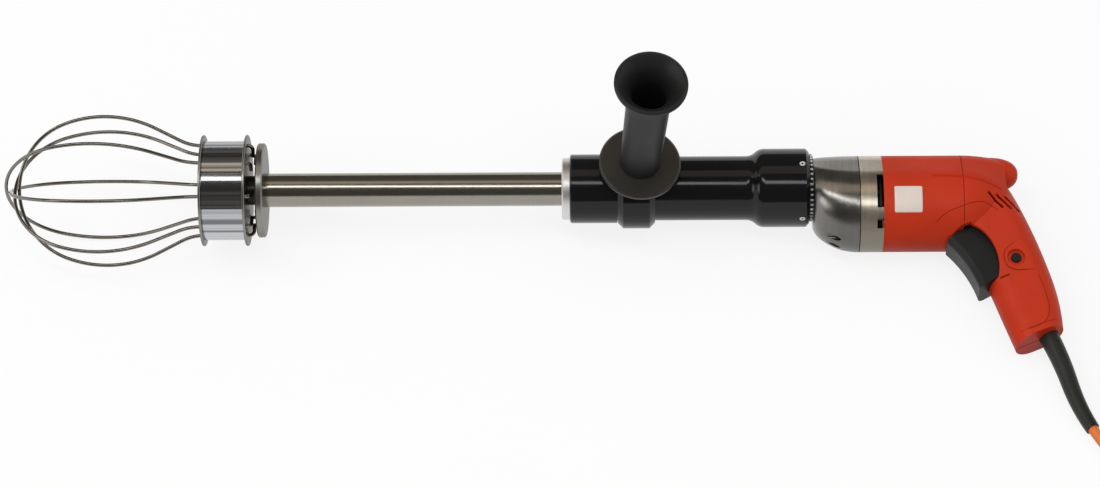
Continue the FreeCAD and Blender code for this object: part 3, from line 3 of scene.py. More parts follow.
import json
import logging
import math
from dataclasses import dataclass, field
from enum import Enum

import bmesh
import bpy
from mathutils import Matrix, Vector
from mathutils.bvhtree import BVHTree


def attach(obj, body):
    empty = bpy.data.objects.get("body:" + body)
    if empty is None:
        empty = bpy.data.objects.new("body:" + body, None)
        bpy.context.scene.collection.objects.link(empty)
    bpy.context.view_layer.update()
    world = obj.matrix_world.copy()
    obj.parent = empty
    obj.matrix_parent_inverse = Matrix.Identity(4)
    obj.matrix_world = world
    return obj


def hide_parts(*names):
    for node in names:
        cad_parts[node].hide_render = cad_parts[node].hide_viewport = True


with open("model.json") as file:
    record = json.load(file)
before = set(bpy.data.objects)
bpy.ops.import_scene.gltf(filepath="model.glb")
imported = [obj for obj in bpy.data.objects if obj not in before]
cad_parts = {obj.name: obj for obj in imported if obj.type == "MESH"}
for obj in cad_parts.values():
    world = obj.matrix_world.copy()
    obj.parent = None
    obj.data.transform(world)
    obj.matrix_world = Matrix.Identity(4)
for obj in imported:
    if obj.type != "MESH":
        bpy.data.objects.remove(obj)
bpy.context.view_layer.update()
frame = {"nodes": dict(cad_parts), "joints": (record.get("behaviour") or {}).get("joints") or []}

log = logging.getLogger("mixing_drill")
Colour = tuple[float, float, float]
Place = tuple[float, float, float]
Points = tuple[tuple[float, float], ...]
Line = list[tuple[float, float]]
MM = 0.001  # metres in a millimetre
TOOL_ORIGIN: Place = (0.2233809, 0.0801444, 0.0432327)  # middle of the gear case's front face, metres
FAR = 200.0  # start of rays to a surface, tool millimetres
SINK = 0.25  # depth of a plate's foot in the surface, tool millimetres
SHARP_ANGLE = 40.0  # edges that turn more than this stay sharp, degrees
CORNER_STEPS = 5  # pieces of a rounded corner
OUTLINE_STEP = 2.5  # spacing of the places on an outline, tool millimetres
BELT_STEPS = 120  # pieces of a belt round the drill
BEAD_TAPER = 4.0  # growth of a bead from its ends, in full rises per length
BEAD_TIP = 0.1  # share of the rise at the ends of a bead
BEAD = ((-0.5, -1.5), (-0.5, 0.0), (-0.3, 0.7), (0.0, 1.0),
        (0.3, 0.7), (0.5, 0.0), (0.5, -1.5))  # half-round section, as shares of width and rise


class ToolFrame:
    """The drill's own axes in the row frame.

    X runs along the drill, Y away from the grip and Z to the side handle.
    """

    def __init__(self) -> None:
        """Take the directions from the joints."""
        joints = {joint["name"]: joint for joint in frame["joints"]}
        self.x = Vector(joints["spindle_spin"]["axis"]).normalized()
        self.z = -Vector(joints["lock_press"]["axis"]).normalized()
        self.y = self.z.cross(self.x)
        self.origin = Vector(TOOL_ORIGIN)

    def matrix(self) -> Matrix:
        """Matrix that takes tool millimetres to the row frame."""
        turn = Matrix((self.x, self.y, self.z)).transposed().to_4x4()
        return Matrix.Translation(self.origin) @ turn @ Matrix.Scale(MM, 4)


TOOL = ToolFrame()


class Value:
    """A shader value or colour; Python arithmetic on it adds Math nodes."""

    def __init__(self, shader: "Shader", socket: bpy.types.NodeSocket) -> None:
        """Keep the output socket of a node."""
        self.shader = shader
        self.socket = socket

    def _math(self, operation: str, first: "Value | float", second: "Value | float") -> "Value":
        """Add one Math node."""
        return self.shader.make("ShaderNodeMath", {"operation": operation}, {0: first, 1: second})

    def __add__(self, other: "Value | float") -> "Value":
        """Sum."""
        return self._math("ADD", self, other)

    def __radd__(self, other: float) -> "Value":
        """Sum with a number on the left; a zero adds no node."""
        return self if other == 0.0 else self._math("ADD", other, self)

    def __sub__(self, other: "Value | float") -> "Value":
        """Difference."""
        return self._math("SUBTRACT", self, other)

    def __rsub__(self, other: float) -> "Value":
        """Difference from a number on the left."""
        return self._math("SUBTRACT", other, self)

    def __mul__(self, other: "Value | float") -> "Value":
        """Product; a factor of one adds no node."""
        return self if other == 1.0 else self._math("MULTIPLY", self, other)

    def __rmul__(self, other: float) -> "Value":
        """Product with a number on the left."""
        return self._math("MULTIPLY", other, self)

    def over(self, low: float, high: float) -> "Value":
        """Map low..high to 0..1, clamped."""
        return self.shader.make("ShaderNodeMapRange", {"clamp": True}, {0: self, 1: low, 2: high})

    def highest(self, other: "Value | float") -> "Value":
        """Larger of two values."""
        return self._math("MAXIMUM", self, other)


Input = Value | float | tuple[float, ...]


class Pattern(Enum):
    """What a layer of a finish follows."""

    CLOUDS = "cloudy noise"
    RINGS = "tool marks of a lathe"
    FLATS = "bands along the drill"
    PEBBLES = "moulded grain"
    WINDINGS = "turns of wire"
    UNDERSIDE = "depth below the axis"


@dataclass(frozen=True)
class Layer:
    """One pattern of a finish and its share in colour, gloss and relief.

    A span holds the two values of the pattern between which its effect grows. Without a span
    for the gloss, the pattern shifts the gloss both ways from its middle value.
    """

    pattern: Pattern
    scale: float = 1.0  # features per metre
    detail: float = 0.0  # finer layers of noise
    span: tuple[float, float] = (0.0, 1.0)
    share: float = 0.0  # of the tint in the colour
    tint: float = 1.0  # factor on the finish's colour
    gloss: float = 0.0  # change of the roughness
    gloss_span: tuple[float, float] | None = None
    middle: float = 0.5
    relief: float = 0.0  # share in the height


class Shader:
    """Node tree of one material or world, built by one node maker."""

    def __init__(self, tree: bpy.types.NodeTree) -> None:
        """Start from an empty tree.

        Args:
            tree: node tree to fill.
        """
        tree.nodes.clear()
        self.tree = tree

    def make(self, kind: str, settings: dict[str, object] | None = None,
             sockets: dict[int | str, Input] | None = None, output: int | str = 0) -> Value:
        """Add a node, set it up and join its sockets.

        Args:
            kind: type name of the node.
            settings: properties of the node, set first.
            sockets: values or links by socket name or number.
            output: output socket to return.

        Returns:
            The wrapped output socket, or the node's first socket where it has no output.
        """
        node = self.tree.nodes.new(kind)
        for name, value in (settings or {}).items():
            setattr(node, name, value)
        for name, value in (sockets or {}).items():
            self.join(node.inputs[name], value)
        return Value(self, node.outputs[output] if node.outputs else node.inputs[0])

    def join(self, target: bpy.types.NodeSocket, value: Input) -> None:
        """Link a value to a socket, or set the socket's own number or colour.

        Args:
            target: socket to feed.
            value: value to link, or the number, colour or vector to set.
        """
        if isinstance(value, Value):
            self.tree.links.new(value.socket, target)
        elif isinstance(value, tuple) and len(value) == 3 and target.type == "RGBA":
            target.default_value = (*value, 1.0)
        else:
            target.default_value = value

    def place(self) -> Value:
        """Position on the object in the row frame, metres."""
        return self.make("ShaderNodeTexCoord", output="Object")

    def along(self, axis: Vector) -> Value:
        """Distance along an axis of the drill, metres."""
        return self.make("ShaderNodeVectorMath", {"operation": "DOT_PRODUCT"},
                         {0: self.place(), 1: tuple(axis)}, "Value")

    def pattern(self, layer: Layer) -> Value:
        """Add the texture that a layer follows.

        Args:
            layer: layer of a finish.

        Returns:
            The pattern from 0 to 1, or metres below the axis on the side of the grip.
        """
        size = {"Scale": layer.scale, "Detail": layer.detail}
        match layer.pattern:
            case Pattern.UNDERSIDE:
                return TOOL.y.dot(TOOL.origin) - self.along(TOOL.y)
            case Pattern.PEBBLES:
                return self.make("ShaderNodeTexVoronoi", {"feature": "F1"}, {"Vector": self.place(), **size})
            case Pattern.WINDINGS:
                return self.make("ShaderNodeTexWave", {"wave_type": "BANDS", "bands_direction": "X"},
                                 {"Vector": self.place(), "Distortion": 0.6, **size}, "Fac")
            case Pattern.RINGS:  # change only along the drill
                return self.make("ShaderNodeTexNoise", {"noise_dimensions": "1D"},
                                 {"W": self.along(TOOL.x), "Roughness": 0.7, **size})
            case Pattern.FLATS:  # change only round the drill
                place = self.make("ShaderNodeCombineXYZ", {}, {1: self.along(TOOL.y), 2: self.along(TOOL.z)})
                rough = 0.6
            case _:
                place, rough = self.place(), 0.55
        return self.make("ShaderNodeTexNoise", {"noise_dimensions": "3D"},
                         {"Vector": place, "Roughness": rough, **size})

    def blend(self, share: Input, first: Input, second: Input) -> Value:
        """Mix of two colours."""
        return self.make("ShaderNodeMix", {"data_type": "RGBA"}, {0: share, 6: first, 7: second}, 2)

    def bump(self, height: Value, depth: float, strength: float) -> Value:
        """Normal of a surface with relief; depth in metres."""
        return self.make("ShaderNodeBump", {},
                         {"Height": height, "Distance": depth, "Strength": strength}, "Normal")

    def surface(self, **sockets: Input) -> None:
        """Close a material with one Principled shader.

        Args:
            sockets: values or links by socket name, with underscores for its spaces.
        """
        named = {name.replace("_", " "): value for name, value in sockets.items()}
        shade = self.make("ShaderNodeBsdfPrincipled", {}, named)
        self.make("ShaderNodeOutputMaterial", {}, {"Surface": shade})


@dataclass(frozen=True)
class Finish:
    """A surface finish of several layers; each kind names its own."""

    name: str
    colour: Colour
    roughness: float
    metallic: float = 0.0
    specular: float = 0.5
    edge: float = 1.0  # brightness at grazing angles
    depth: float = 0.00002  # of the relief, metres
    strength: float = 1.0  # of the relief
    ground: float = 1.0  # factor on the colour under the layers

    def layers(self) -> tuple[Layer, ...]:
        """Layers from the lowest up; kinds of finish override it."""
        raise NotImplementedError

    def material(self) -> bpy.types.Material:
        """Make the material once and give it out again later.

        Returns:
            The material of this finish.
        """
        found = bpy.data.materials.get(self.name)
        if found is None:
            found = bpy.data.materials.new(self.name)
            found.use_nodes = True
            self.paint(Shader(found.node_tree))
        return found

    def shade(self, factor: float) -> Colour:
        """The finish's colour, lighter or darker."""
        return tuple(min(1.0, c * factor) for c in self.colour)

    def paint(self, shader: Shader) -> None:
        """Blend the layers into the colour and add them to gloss and relief.

        Args:
            shader: shader to fill.
        """
        tone, gloss, height = self.shade(self.ground), self.roughness, 0.0
        for layer in self.layers():
            value = shader.pattern(layer)
            if layer.share:
                tone = shader.blend(value.over(*layer.span) * layer.share, tone, self.shade(layer.tint))
            if layer.gloss:
                shift = value.over(*layer.gloss_span) if layer.gloss_span else value - layer.middle
                gloss = gloss + shift * layer.gloss
            if layer.relief:
                height = height + value * layer.relief
        shader.surface(Base_Color=tone, Roughness=gloss, Metallic=self.metallic,
                       Specular_IOR_Level=self.specular, Specular_Tint=(self.edge,) * 3,
                       Normal=shader.bump(height, self.depth, self.strength))


@dataclass(frozen=True)
class TurnedMetal(Finish):
    """Metal off a lathe: fine rings across the axis, faint stains and a bright polish."""

    metallic: float = 1.0
    depth: float = 0.000012
    ground: float = 0.86
    marks: float = 900.0
    stain: float = 0.25

    def layers(self) -> tuple[Layer, ...]:
        """Rings in colour, gloss and relief, and clouds that stain.

        Returns:
            The layers from the lowest up.
        """
        return (Layer(Pattern.RINGS, self.marks, 4.0, span=(0.3, 0.7), share=1.0, tint=1.1,
                      gloss=0.5 * self.roughness, relief=1.0),
                Layer(Pattern.CLOUDS, 34.0, 4.0, span=(0.45, 0.8), share=self.stain, tint=0.6,
                      gloss=0.06, gloss_span=(0.4, 0.9)))


@dataclass(frozen=True)
class DrawnWire(Finish):
    """Polished drawn steel: a soft sheen with specks and faint handling marks."""

    metallic: float = 1.0
    depth: float = 0.0000005
    ground: float = 0.86

    def layers(self) -> tuple[Layer, ...]:
        """Clouds for the handling marks and fine specks for the sheen."""
        return (Layer(Pattern.CLOUDS, 70.0, 5.0, span=(0.35, 0.75), share=1.0, tint=1.12, gloss=0.06),
                Layer(Pattern.CLOUDS, 900.0, 2.0, gloss=0.02, relief=1.0))


@dataclass(frozen=True)
class ReflectionBandedMetal(Finish):
    """Polished sheet with faint flats along its length, and dark and bright bands painted into its colour as
    reflections.
    """

    metallic: float = 1.0
    depth: float = 0.0009
    strength: float = 0.6
    ground: float = 0.35

    def layers(self) -> tuple[Layer, ...]:
        """Broad and fine bands painted into the colour as reflections, with lathe rings that break their gloss.

        Returns:
            The layers from the lowest up.
        """
        # painted reflection: the bands darken the colour to about a third and back, round the axis
        return (Layer(Pattern.FLATS, 150.0, 2.0, span=(0.42, 0.56), share=1.0, relief=1.0),
                Layer(Pattern.FLATS, 420.0, 3.0, span=(0.5, 0.75), share=0.45, tint=0.3,
                      gloss=0.06, gloss_span=(0.4, 0.8)),
                Layer(Pattern.RINGS, 700.0, 4.0, gloss=0.08, middle=0.0))


@dataclass(frozen=True)
class CastMetal(Finish):
    """Die cast aluminium, brushed round the axis: fine lines, grain, dull clouds and painted shade that darkens
    the lower side.
    """

    metallic: float = 1.0
    ground: float = 0.72
    # painted shade: the colour darkens between these depths below the axis, where the lower side is in shade
    painted_shade: tuple[float, float] = (0.026, 0.052)  # metres below the axis between which it grows
    painted_shade_share: float = 0.75

    def layers(self) -> tuple[Layer, ...]:
        """Clouds, brushed lines, grain and painted shade below the axis.

        Returns:
            The layers from the lowest up.
        """
        return (Layer(Pattern.CLOUDS, 40.0, 5.0, span=(0.3, 0.75), share=1.0, tint=1.15, gloss=0.2),
                Layer(Pattern.RINGS, 520.0, 6.0, span=(0.45, 0.8), share=0.5, tint=0.5, relief=1.0),
                Layer(Pattern.CLOUDS, 1500.0, 4.0, span=(0.5, 0.9), share=0.3, tint=0.55,
                      gloss=0.1, relief=0.4),
                # painted shade: darker towards the bottom of the case
                Layer(Pattern.UNDERSIDE, span=self.painted_shade, share=self.painted_shade_share, tint=0.35,
                      gloss=0.12, gloss_span=self.painted_shade))


@dataclass(frozen=True)
class MouldedPlastic(Finish):
    """Injection moulded plastic: pebbled grain, rubbed patches and dust in the hollows."""

    specular: float = 0.4
    depth: float = 0.00003
    strength: float = 0.6
    ground: float = 0.93
    grain: float = 1400.0

    def layers(self) -> tuple[Layer, ...]:
        """Clouds for rubbed, glossier patches, dust and pebbled grain.

        Returns:
            The layers from the lowest up.
        """
        return (Layer(Pattern.CLOUDS, 26.0, 4.0, span=(0.3, 0.75), share=1.0, tint=1.06,
                      gloss=-0.12, gloss_span=(0.45, 0.8)),
                Layer(Pattern.CLOUDS, 420.0, 3.0, span=(0.55, 0.8), share=0.25, tint=0.86),
                Layer(Pattern.PEBBLES, self.grain, gloss=0.1, middle=0.4, relief=1.0))


@dataclass(frozen=True)
class Rubber(Finish):
    """Soft black rubber with a dry bloom."""

    specular: float = 0.3

    def layers(self) -> tuple[Layer, ...]:
        """Bloom in clouds and fine grain."""
        return (Layer(Pattern.CLOUDS, 60.0, 5.0, span=(0.4, 0.8), share=0.5, tint=1.7),
                Layer(Pattern.CLOUDS, 2200.0, 2.0, gloss=0.2, relief=1.0))


@dataclass(frozen=True)
class Winding(Finish):
    """Lacquered wire laid in turns, or stacked sheets, across the motor's axis."""

    metallic: float = 1.0
    depth: float = 0.0001
    ground: float = 0.45
    turns: float = 700.0

    def layers(self) -> tuple[Layer, ...]:
        """Turns in colour and relief, and clouds in the gloss."""
        return (Layer(Pattern.WINDINGS, self.turns, 2.0, share=1.0, relief=1.0),
                Layer(Pattern.CLOUDS, 120.0, 3.0, gloss=0.15))


WHISK_STEEL = DrawnWire("whisk_wire_steel", (0.22, 0.205, 0.185), 0.1)
PLATE_STEEL = TurnedMetal("plated_sheet_steel", (0.29, 0.278, 0.254), 0.28,
                          marks=1400.0, depth=0.000008, edge=0.55)
HUB_STEEL = TurnedMetal("blackened_hub_steel", (0.045, 0.043, 0.04), 0.35, edge=0.4)
DRUM_STEEL = ReflectionBandedMetal("polished_drum_steel", (0.53, 0.54, 0.56), 0.08)
TUBE_STEEL = TurnedMetal("tube_steel", (0.32, 0.3, 0.265), 0.17, marks=1800.0, depth=0.000004, stain=0.2)
GEAR_STEEL = TurnedMetal("hardened_gear_steel", (0.34, 0.33, 0.32), 0.32)
BEARING_STEEL = TurnedMetal("ground_bearing_steel", (0.5, 0.5, 0.5), 0.18, marks=1200.0, depth=0.000006)
BRONZE = TurnedMetal("sintered_bronze", (0.4, 0.25, 0.11), 0.45, marks=600.0)
BRASS = TurnedMetal("drawn_brass", (0.58, 0.43, 0.19), 0.3, marks=700.0)
SCREW_STEEL = TurnedMetal("plated_screw_steel", (0.7, 0.69, 0.67), 0.34, marks=2400.0, depth=0.00001)
ZINC_FACE = TurnedMetal("zinc_screw_face", (0.7, 0.7, 0.69), 0.36,
                        marks=2400.0, depth=0.00001, stain=0.1, metallic=0.3)
BRIGHT_RING = TurnedMetal("bright_front_ring", (0.72, 0.71, 0.7), 0.4,
                          marks=2600.0, depth=0.00001, stain=0.1)
BLACK_HOUSING = TurnedMetal("black_anodised_housing", (0.006, 0.006, 0.007), 0.1,
                            marks=1500.0, depth=0.000004, stain=0.2, metallic=0.0, specular=0.3)
# the gear case's lower side is darkened as painted shade
CASE_ALUMINIUM = CastMetal("gear_case_aluminium", (0.3, 0.287, 0.268), 0.22)
# painted reflection: a base lighter than the gear case's stands in for the bright band that the flange mirrors;
# a stronger painted shade darkens its lower side
FLANGE_ALUMINIUM = CastMetal("flange_aluminium", (0.62, 0.56, 0.47), 0.3,
                             painted_shade=(0.036, 0.05), painted_shade_share=0.95)
BODY_RED = MouldedPlastic("red_body_plastic", (0.5, 0.03, 0.006), 0.46, specular=0.14)
HANDLE_PLASTIC = MouldedPlastic("side_handle_plastic", (0.012, 0.012, 0.012), 0.48,
                                grain=1100.0, depth=0.00004, specular=0.32)
COLLAR_PLASTIC = MouldedPlastic("collar_plastic", (0.022, 0.0195, 0.015), 0.42, grain=1500.0)
CONTROL_BLACK = MouldedPlastic("trigger_plastic", (0.013, 0.014, 0.014), 0.42,
                               grain=1500.0, depth=0.00002, specular=0.2)
LINE_DARK = MouldedPlastic("red_groove", (0.14, 0.007, 0.002), 0.7, depth=0.00001, specular=0.05)
# painted shade: the darker red of the valley below the ridge
LINE_FAINT = MouldedPlastic("red_valley_painted_shade", (0.44, 0.025, 0.005), 0.6, depth=0.00001, specular=0.05)
# dark red of the grip's joints, and the painted shade of the shoulder crease
LINE_SOFT = MouldedPlastic("red_joint_and_crease_shade", (0.27, 0.013, 0.003), 0.6, depth=0.00001, specular=0.05)
# dark of the case's groove; also painted shade in screw recesses and the gap before the gear case
DARK_GROOVE_AND_SHADE = MouldedPlastic("dark_groove_and_painted_shade", (0.012, 0.011, 0.01), 0.6, depth=0.00001, specular=0.1)
SEAL_RUBBER = Rubber("black_seal_rubber", (0.016, 0.016, 0.016), 0.55)
RELIEF_RUBBER = Rubber("relief_rubber", (0.013, 0.015, 0.012), 0.4)
CORD_SHEATH = MouldedPlastic("orange_cord_sheath", (0.72, 0.17, 0.03), 0.34, grain=900.0, depth=0.00001)
CORE_IRON = Winding("core_iron_sheets", (0.2, 0.2, 0.21), 0.4, turns=350.0)
COPPER = Winding("copper_winding", (0.6, 0.22, 0.09), 0.3, turns=420.0)
CARBON = Rubber("carbon_block", (0.03, 0.03, 0.032), 0.6)
BARE_PLATE = MouldedPlastic("bare_badge_plate", (0.7, 0.6, 0.54), 0.36, grain=2400.0, depth=0.000006)


class DriveShape(Enum):
    """Recess in a screw head."""

    HEX = "hex"
    CROSS = "cross"


def add_object(name: str, data: bpy.types.ID) -> bpy.types.Object:
    """Put an object with this data in the scene.

    Args:
        name: name of the object.
        data: its mesh, curve, camera or lamp.

    Returns:
        The object.
    """
    made = bpy.data.objects.new(name, data)
    bpy.context.scene.collection.objects.link(made)
    return made


class Mesh:
    """Mesh of one piece in tool millimetres, a skin over rings of points."""

    def __init__(self, rings: list[list[Vector]], looped: bool = False) -> None:
        """Join closed rings of equal length with quads.

        Args:
            rings: points of each ring, in order.
            looped: whether the last ring joins the first; else a face closes each end.
        """
        self.form = bmesh.new()
        made = [[self.form.verts.new(point) for point in ring] for ring in rings]
        for first, second in zip(made, made[1:] + made[:1] if looped else made[1:]):
            for i in range(len(first)):
                j = (i + 1) % len(first)
                self.form.faces.new((first[i], first[j], second[j], second[i]))
        if not looped:
            self.form.faces.new(made[0])
            self.form.faces.new(made[-1])

    def piece(self, name: str, finish: Finish, slot: str, body: str) -> bpy.types.Object:
        """Turn the mesh into an object that rides on a body.

        Args:
            name: name of the piece.
            finish: its finish.
            slot: material slot of the record; not used.
            body: CAD body it moves with.

        Returns:
            The object, in the row frame.
        """
        bmesh.ops.recalc_face_normals(self.form, faces=self.form.faces)
        self.form.transform(TOOL.matrix())
        data = bpy.data.meshes.new(name)
        self.form.to_mesh(data)
        self.form.free()
        for face in data.polygons:
            face.use_smooth = True
        data.set_sharp_from_angle(angle=math.radians(SHARP_ANGLE))
        data.materials.append(finish.material())
        made = add_object(name, data)
        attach(made, body)
        log.info("piece %s: %d faces on %s", name, len(data.polygons), body)
        return made


class Skin:
    """Outer surface of some CAD nodes, for what lies on it."""

    def __init__(self, *nodes: str, side: int = 1) -> None:
        """Gather the nodes' faces in tool millimetres.

        Args:
            nodes: names of the CAD nodes.
            side: 1 to look from the side handle's side, -1 from the other.
        """
        inverse = TOOL.matrix().inverted()
        points, faces = [], []
        for name in nodes:
            data = frame["nodes"][name].data
            start = len(points)
            points += [inverse @ v.co for v in data.vertices]
            faces += [[start + i for i in face.vertices] for face in data.polygons]
        self.tree = BVHTree.FromPolygons(points, faces)
        self.side = side

    def lift(self, x: float, y: float, up: float) -> Vector:
        """Find the point a little above the surface at a place.

        Args:
            x: place along the drill, millimetres.
            y: place across it, millimetres.
            up: height above the surface, millimetres.

        Returns:
            The point, tool millimetres.
        """
        look = Vector((0, 0, -self.side))
        hit = self.tree.ray_cast(Vector((x, y, 0)) - look * FAR, look)[0]
        return (hit or Vector((x, y, 0))) - look * up

    def around(self, x: float, level: float, turn: float, up: float) -> Vector:
        """Find the point a little off the surface on a ray to a line along the drill.

        Args:
            x: place along the drill, millimetres.
            level: height of the line, millimetres.
            turn: angle of the ray from the top, radians.
            up: distance off the surface, millimetres.

        Returns:
            The point, tool millimetres.
        """
        out = Vector((0, math.cos(turn), math.sin(turn)))
        middle = Vector((x, level, 0))
        hit = self.tree.ray_cast(middle + out * FAR, -out)[0]
        return (hit or middle) + out * up

    def plate(self, outline: Line, thick: float, edge: float, hole: Line | None = None) -> Mesh:
        """Thin plate with a rounded rim that follows the surface.

        Args:
            outline: places round the plate.
            thick: height above the surface, millimetres.
            edge: width of the rounded rim as a share of the plate.
            hole: places round an opening, one for each of the outline's, or none.

        Returns:
            The plate's mesh.
        """
        middle = tuple(sum(p[k] for p in outline) / len(outline) for k in (0, 1))
        inner = hole or [middle] * len(outline)
        # each ring: share of the way from the middle or the hole to the outline, and height
        steps = [(1.0, -SINK), (1.0, thick * 0.55), (1 - edge / 2, thick * 0.9), (1 - edge, thick),
                 (0.7, thick), (0.45, thick), (0.2, thick)]
        if hole:
            steps += [(0.04, thick), (0.0, thick * 0.8), (0.0, -SINK)]
        rings = []
        for share, up in steps:
            places = [[m + (c - m) * share for m, c in zip(*pair)] for pair in zip(inner, outline)]
            rings.append([self.lift(x, y, up) for x, y in places])
        return Mesh(rings, looped=hole is not None)

    def belt(self, x: float, level: float, width: float, rise: float, span: float) -> Mesh:
        """Narrow bead round the drill, open towards the grip.

        Args:
            x: place along the drill, millimetres.
            level: height of the belt's middle, millimetres.
            width: its width, millimetres.
            rise: its height, millimetres.
            span: angle it covers to each side of the top, degrees.

        Returns:
            The belt's mesh.
        """
        rings = []
        for i in range(BELT_STEPS + 1):
            turn = math.radians(span) * (2 * i / BELT_STEPS - 1)
            rings.append([self.around(x + width * s, level, turn, rise * up) for s, up in BEAD])
        return Mesh(rings)

    def bead(self, line: Line, width: float, rise: float) -> Mesh:
        """Narrow half-round bead along a line on the surface.

        Args:
            line: places along the bead.
            width: its width, millimetres.
            rise: its height, millimetres.

        Returns:
            The bead's mesh.
        """
        rings = []
        last = len(line) - 1
        for i, (x, y) in enumerate(line):
            ax, ay = line[max(i - 1, 0)]
            bx, by = line[min(i + 1, last)]
            run = math.hypot(bx - ax, by - ay)
            nx, ny = (ay - by) / run, (bx - ax) / run
            fade = min(1.0, BEAD_TAPER * min(i, last - i) / last + BEAD_TIP)
            rings.append([self.lift(x + nx * width * s, y + ny * width * s, rise * up * fade)
                          for s, up in BEAD])
        return Mesh(rings)


def smooth_line(points: Line, closed: bool = False, steps: int = 8) -> Line:
    """Curve through points.

    Args:
        points: places that the curve passes.
        closed: whether it comes back to the first place.
        steps: pieces between two places.

    Returns:
        Places along the curve.
    """
    padded = [points[-1], *points, points[0], points[1]] if closed else [points[0], *points, points[-1]]
    line = []
    for a, b, c, d in zip(padded, padded[1:], padded[2:], padded[3:]):
        for k in range(steps):
            t = k / steps
            line.append(tuple(
                0.5 * (2 * q + (r - p) * t + (2 * p - 5 * q + 4 * r - s) * t * t
                       + (3 * q - p - 3 * r + s) * t**3)
                for p, q, r, s in zip(a, b, c, d)))
    return line if closed else line + [points[-1]]


def rounded_box(middle: tuple[float, float], half: tuple[float, float], corner: float) -> Line:
    """Rectangle with round corners.

    Args:
        middle: its middle.
        half: half of its length and width.
        corner: radius of the corners.

    Returns:
        Places round the rectangle, close enough to follow a curved surface.
    """
    (x, y), (a, b) = middle, half
    corners = []
    for quarter, (sx, sy) in enumerate(((1, 1), (-1, 1), (-1, -1), (1, -1))):
        for k in range(CORNER_STEPS + 1):
            turn = math.pi / 2 * (quarter + k / CORNER_STEPS)
            corners.append((x + sx * (a - corner) + corner * math.cos(turn),
                            y + sy * (b - corner) + corner * math.sin(turn)))
    line = []
    for first, second in zip(corners, corners[1:] + corners[:1]):
        pieces = max(1, round(math.dist(first, second) / OUTLINE_STEP))
        line += [tuple(p + (q - p) * k / pieces for p, q in zip(first, second)) for k in range(pieces)]
    return line


def circle(middle: tuple[float, float], radius: float, like: Line) -> Line:
    """Places on a circle, each in the direction of one place of another outline."""
    turns = [math.atan2(y - middle[1], x - middle[0]) for x, y in like]
    return [(middle[0] + radius * math.cos(t), middle[1] + radius * math.sin(t)) for t in turns]


def full_turn(steps: int) -> list[float]:
    """Evenly spaced angles of one turn, radians."""
    return [2 * math.pi * k / steps for k in range(steps)]


def dress(nodes: dict[str, Finish]) -> None:
    """Give CAD nodes their finishes.

    Args:
        nodes: finish by node name.
    """
    for name, finish in nodes.items():
        data = frame["nodes"][name].data
        data.materials.clear()
        data.materials.append(finish.material())
        log.info("node %s: %s", name, finish.name)


@dataclass
class ScrewFace:
    """Face of a screw head with a shallow recess whose dark floor is painted shade, on the flat face of the CAD
    screw.

    Rim, lip and floor are profiles: millimetres above the screw and a share of the edge's reach.
    """

    radius: float
    shape: DriveShape
    hex_reach: float = 0.46
    cross_reach: float = 0.66
    cross_width: float = 0.15
    rim: Points = ((0.0, 1.0), (0.21, 1.0), (0.35, 0.93))
    lip: Points = ((0.35, 1.06), (0.2975, 1.0), (0.02, 0.95))
    floor: Points = ((0.0, 0.97), (0.1, 0.97), (0.1, 0.5))
    steps: int = 48

    def reach(self, turn: float) -> float:
        """Find the edge of the recess in one direction.

        Args:
            turn: direction, radians.

        Returns:
            Distance from the middle, as a share of the radius.
        """
        if self.shape is DriveShape.HEX:
            return self.hex_reach * math.cos(math.pi / 6) / math.cos((turn % (math.pi / 3)) - math.pi / 6)
        across = min(abs(math.cos(turn)), abs(math.sin(turn)))
        return self.cross_width / max(across, self.cross_width / self.cross_reach)

    def build(self, name: str, at: Vector, out: Vector) -> None:
        """Make the face and the bottom of its recess.

        Args:
            name: name of the piece.
            at: middle of the CAD screw's face, tool millimetres.
            out: direction away from the screw.
        """
        side = out.orthogonal().normalized()
        other = out.cross(side)
        turns = full_turn(self.steps)
        rays = [side * math.cos(t) + other * math.sin(t) for t in turns]
        edges = [self.reach(turn) for turn in turns]
        whole = [1.0] * self.steps

        def rings(profile: Points, reaches: list[float]) -> list[list[Vector]]:
            """Rings of points along a profile, each ray as long as its reach."""
            return [[at + out * up + ray * (self.radius * share * r) for ray, r in zip(rays, reaches)]
                    for up, share in profile]

        head = Mesh(rings(self.rim, whole) + rings(self.lip, edges))
        head.piece(name, ZINC_FACE, "screw_steel", "body")
        # painted shade: a dark sheet at the floor of the recess, where a deep socket would be in shade
        Mesh(rings(self.floor, edges)).piece(name + "_recess", DARK_GROOVE_AND_SHADE, "screw_steel", "body")


@dataclass
class PhotoCamera:
    """Camera at the photograph's viewing angle."""

    azimuth: float = 0.0794182
    elevation: float = 0.9263529
    roll: float = -0.0905105
    distance: float = 3.3007258
    target: Place = (0.0059722, 0.0400706, 0.0296610)
    focal_pixels: float = 4000.0
    picture_width: float = 1100.0
    sensor_width: float = 36.0
    sight: float = 20.0

    def build(self) -> None:
        """Make the camera and hand it to the scene."""
        a, e = self.azimuth, self.elevation
        back = Vector((math.sin(a) * math.cos(e), -math.cos(a) * math.cos(e), math.sin(e)))
        right = Vector((0, 0, 1)).cross(back).normalized()
        up = back.cross(right)
        c, s = math.cos(self.roll), math.sin(self.roll)
        turn = Matrix((right * c + up * s, up * c - right * s, back)).transposed().to_4x4()
        data = bpy.data.cameras.new("photo_camera")
        data.sensor_fit = "HORIZONTAL"
        data.sensor_width = self.sensor_width
        data.lens = self.focal_pixels * self.sensor_width / self.picture_width
        data.clip_end = self.sight
        camera = add_object("photo_camera", data)
        camera.matrix_world = Matrix.Translation(Vector(self.target) + back * self.distance) @ turn
        bpy.context.scene.camera = camera
        log.info("camera: lens %.1f mm", data.lens)


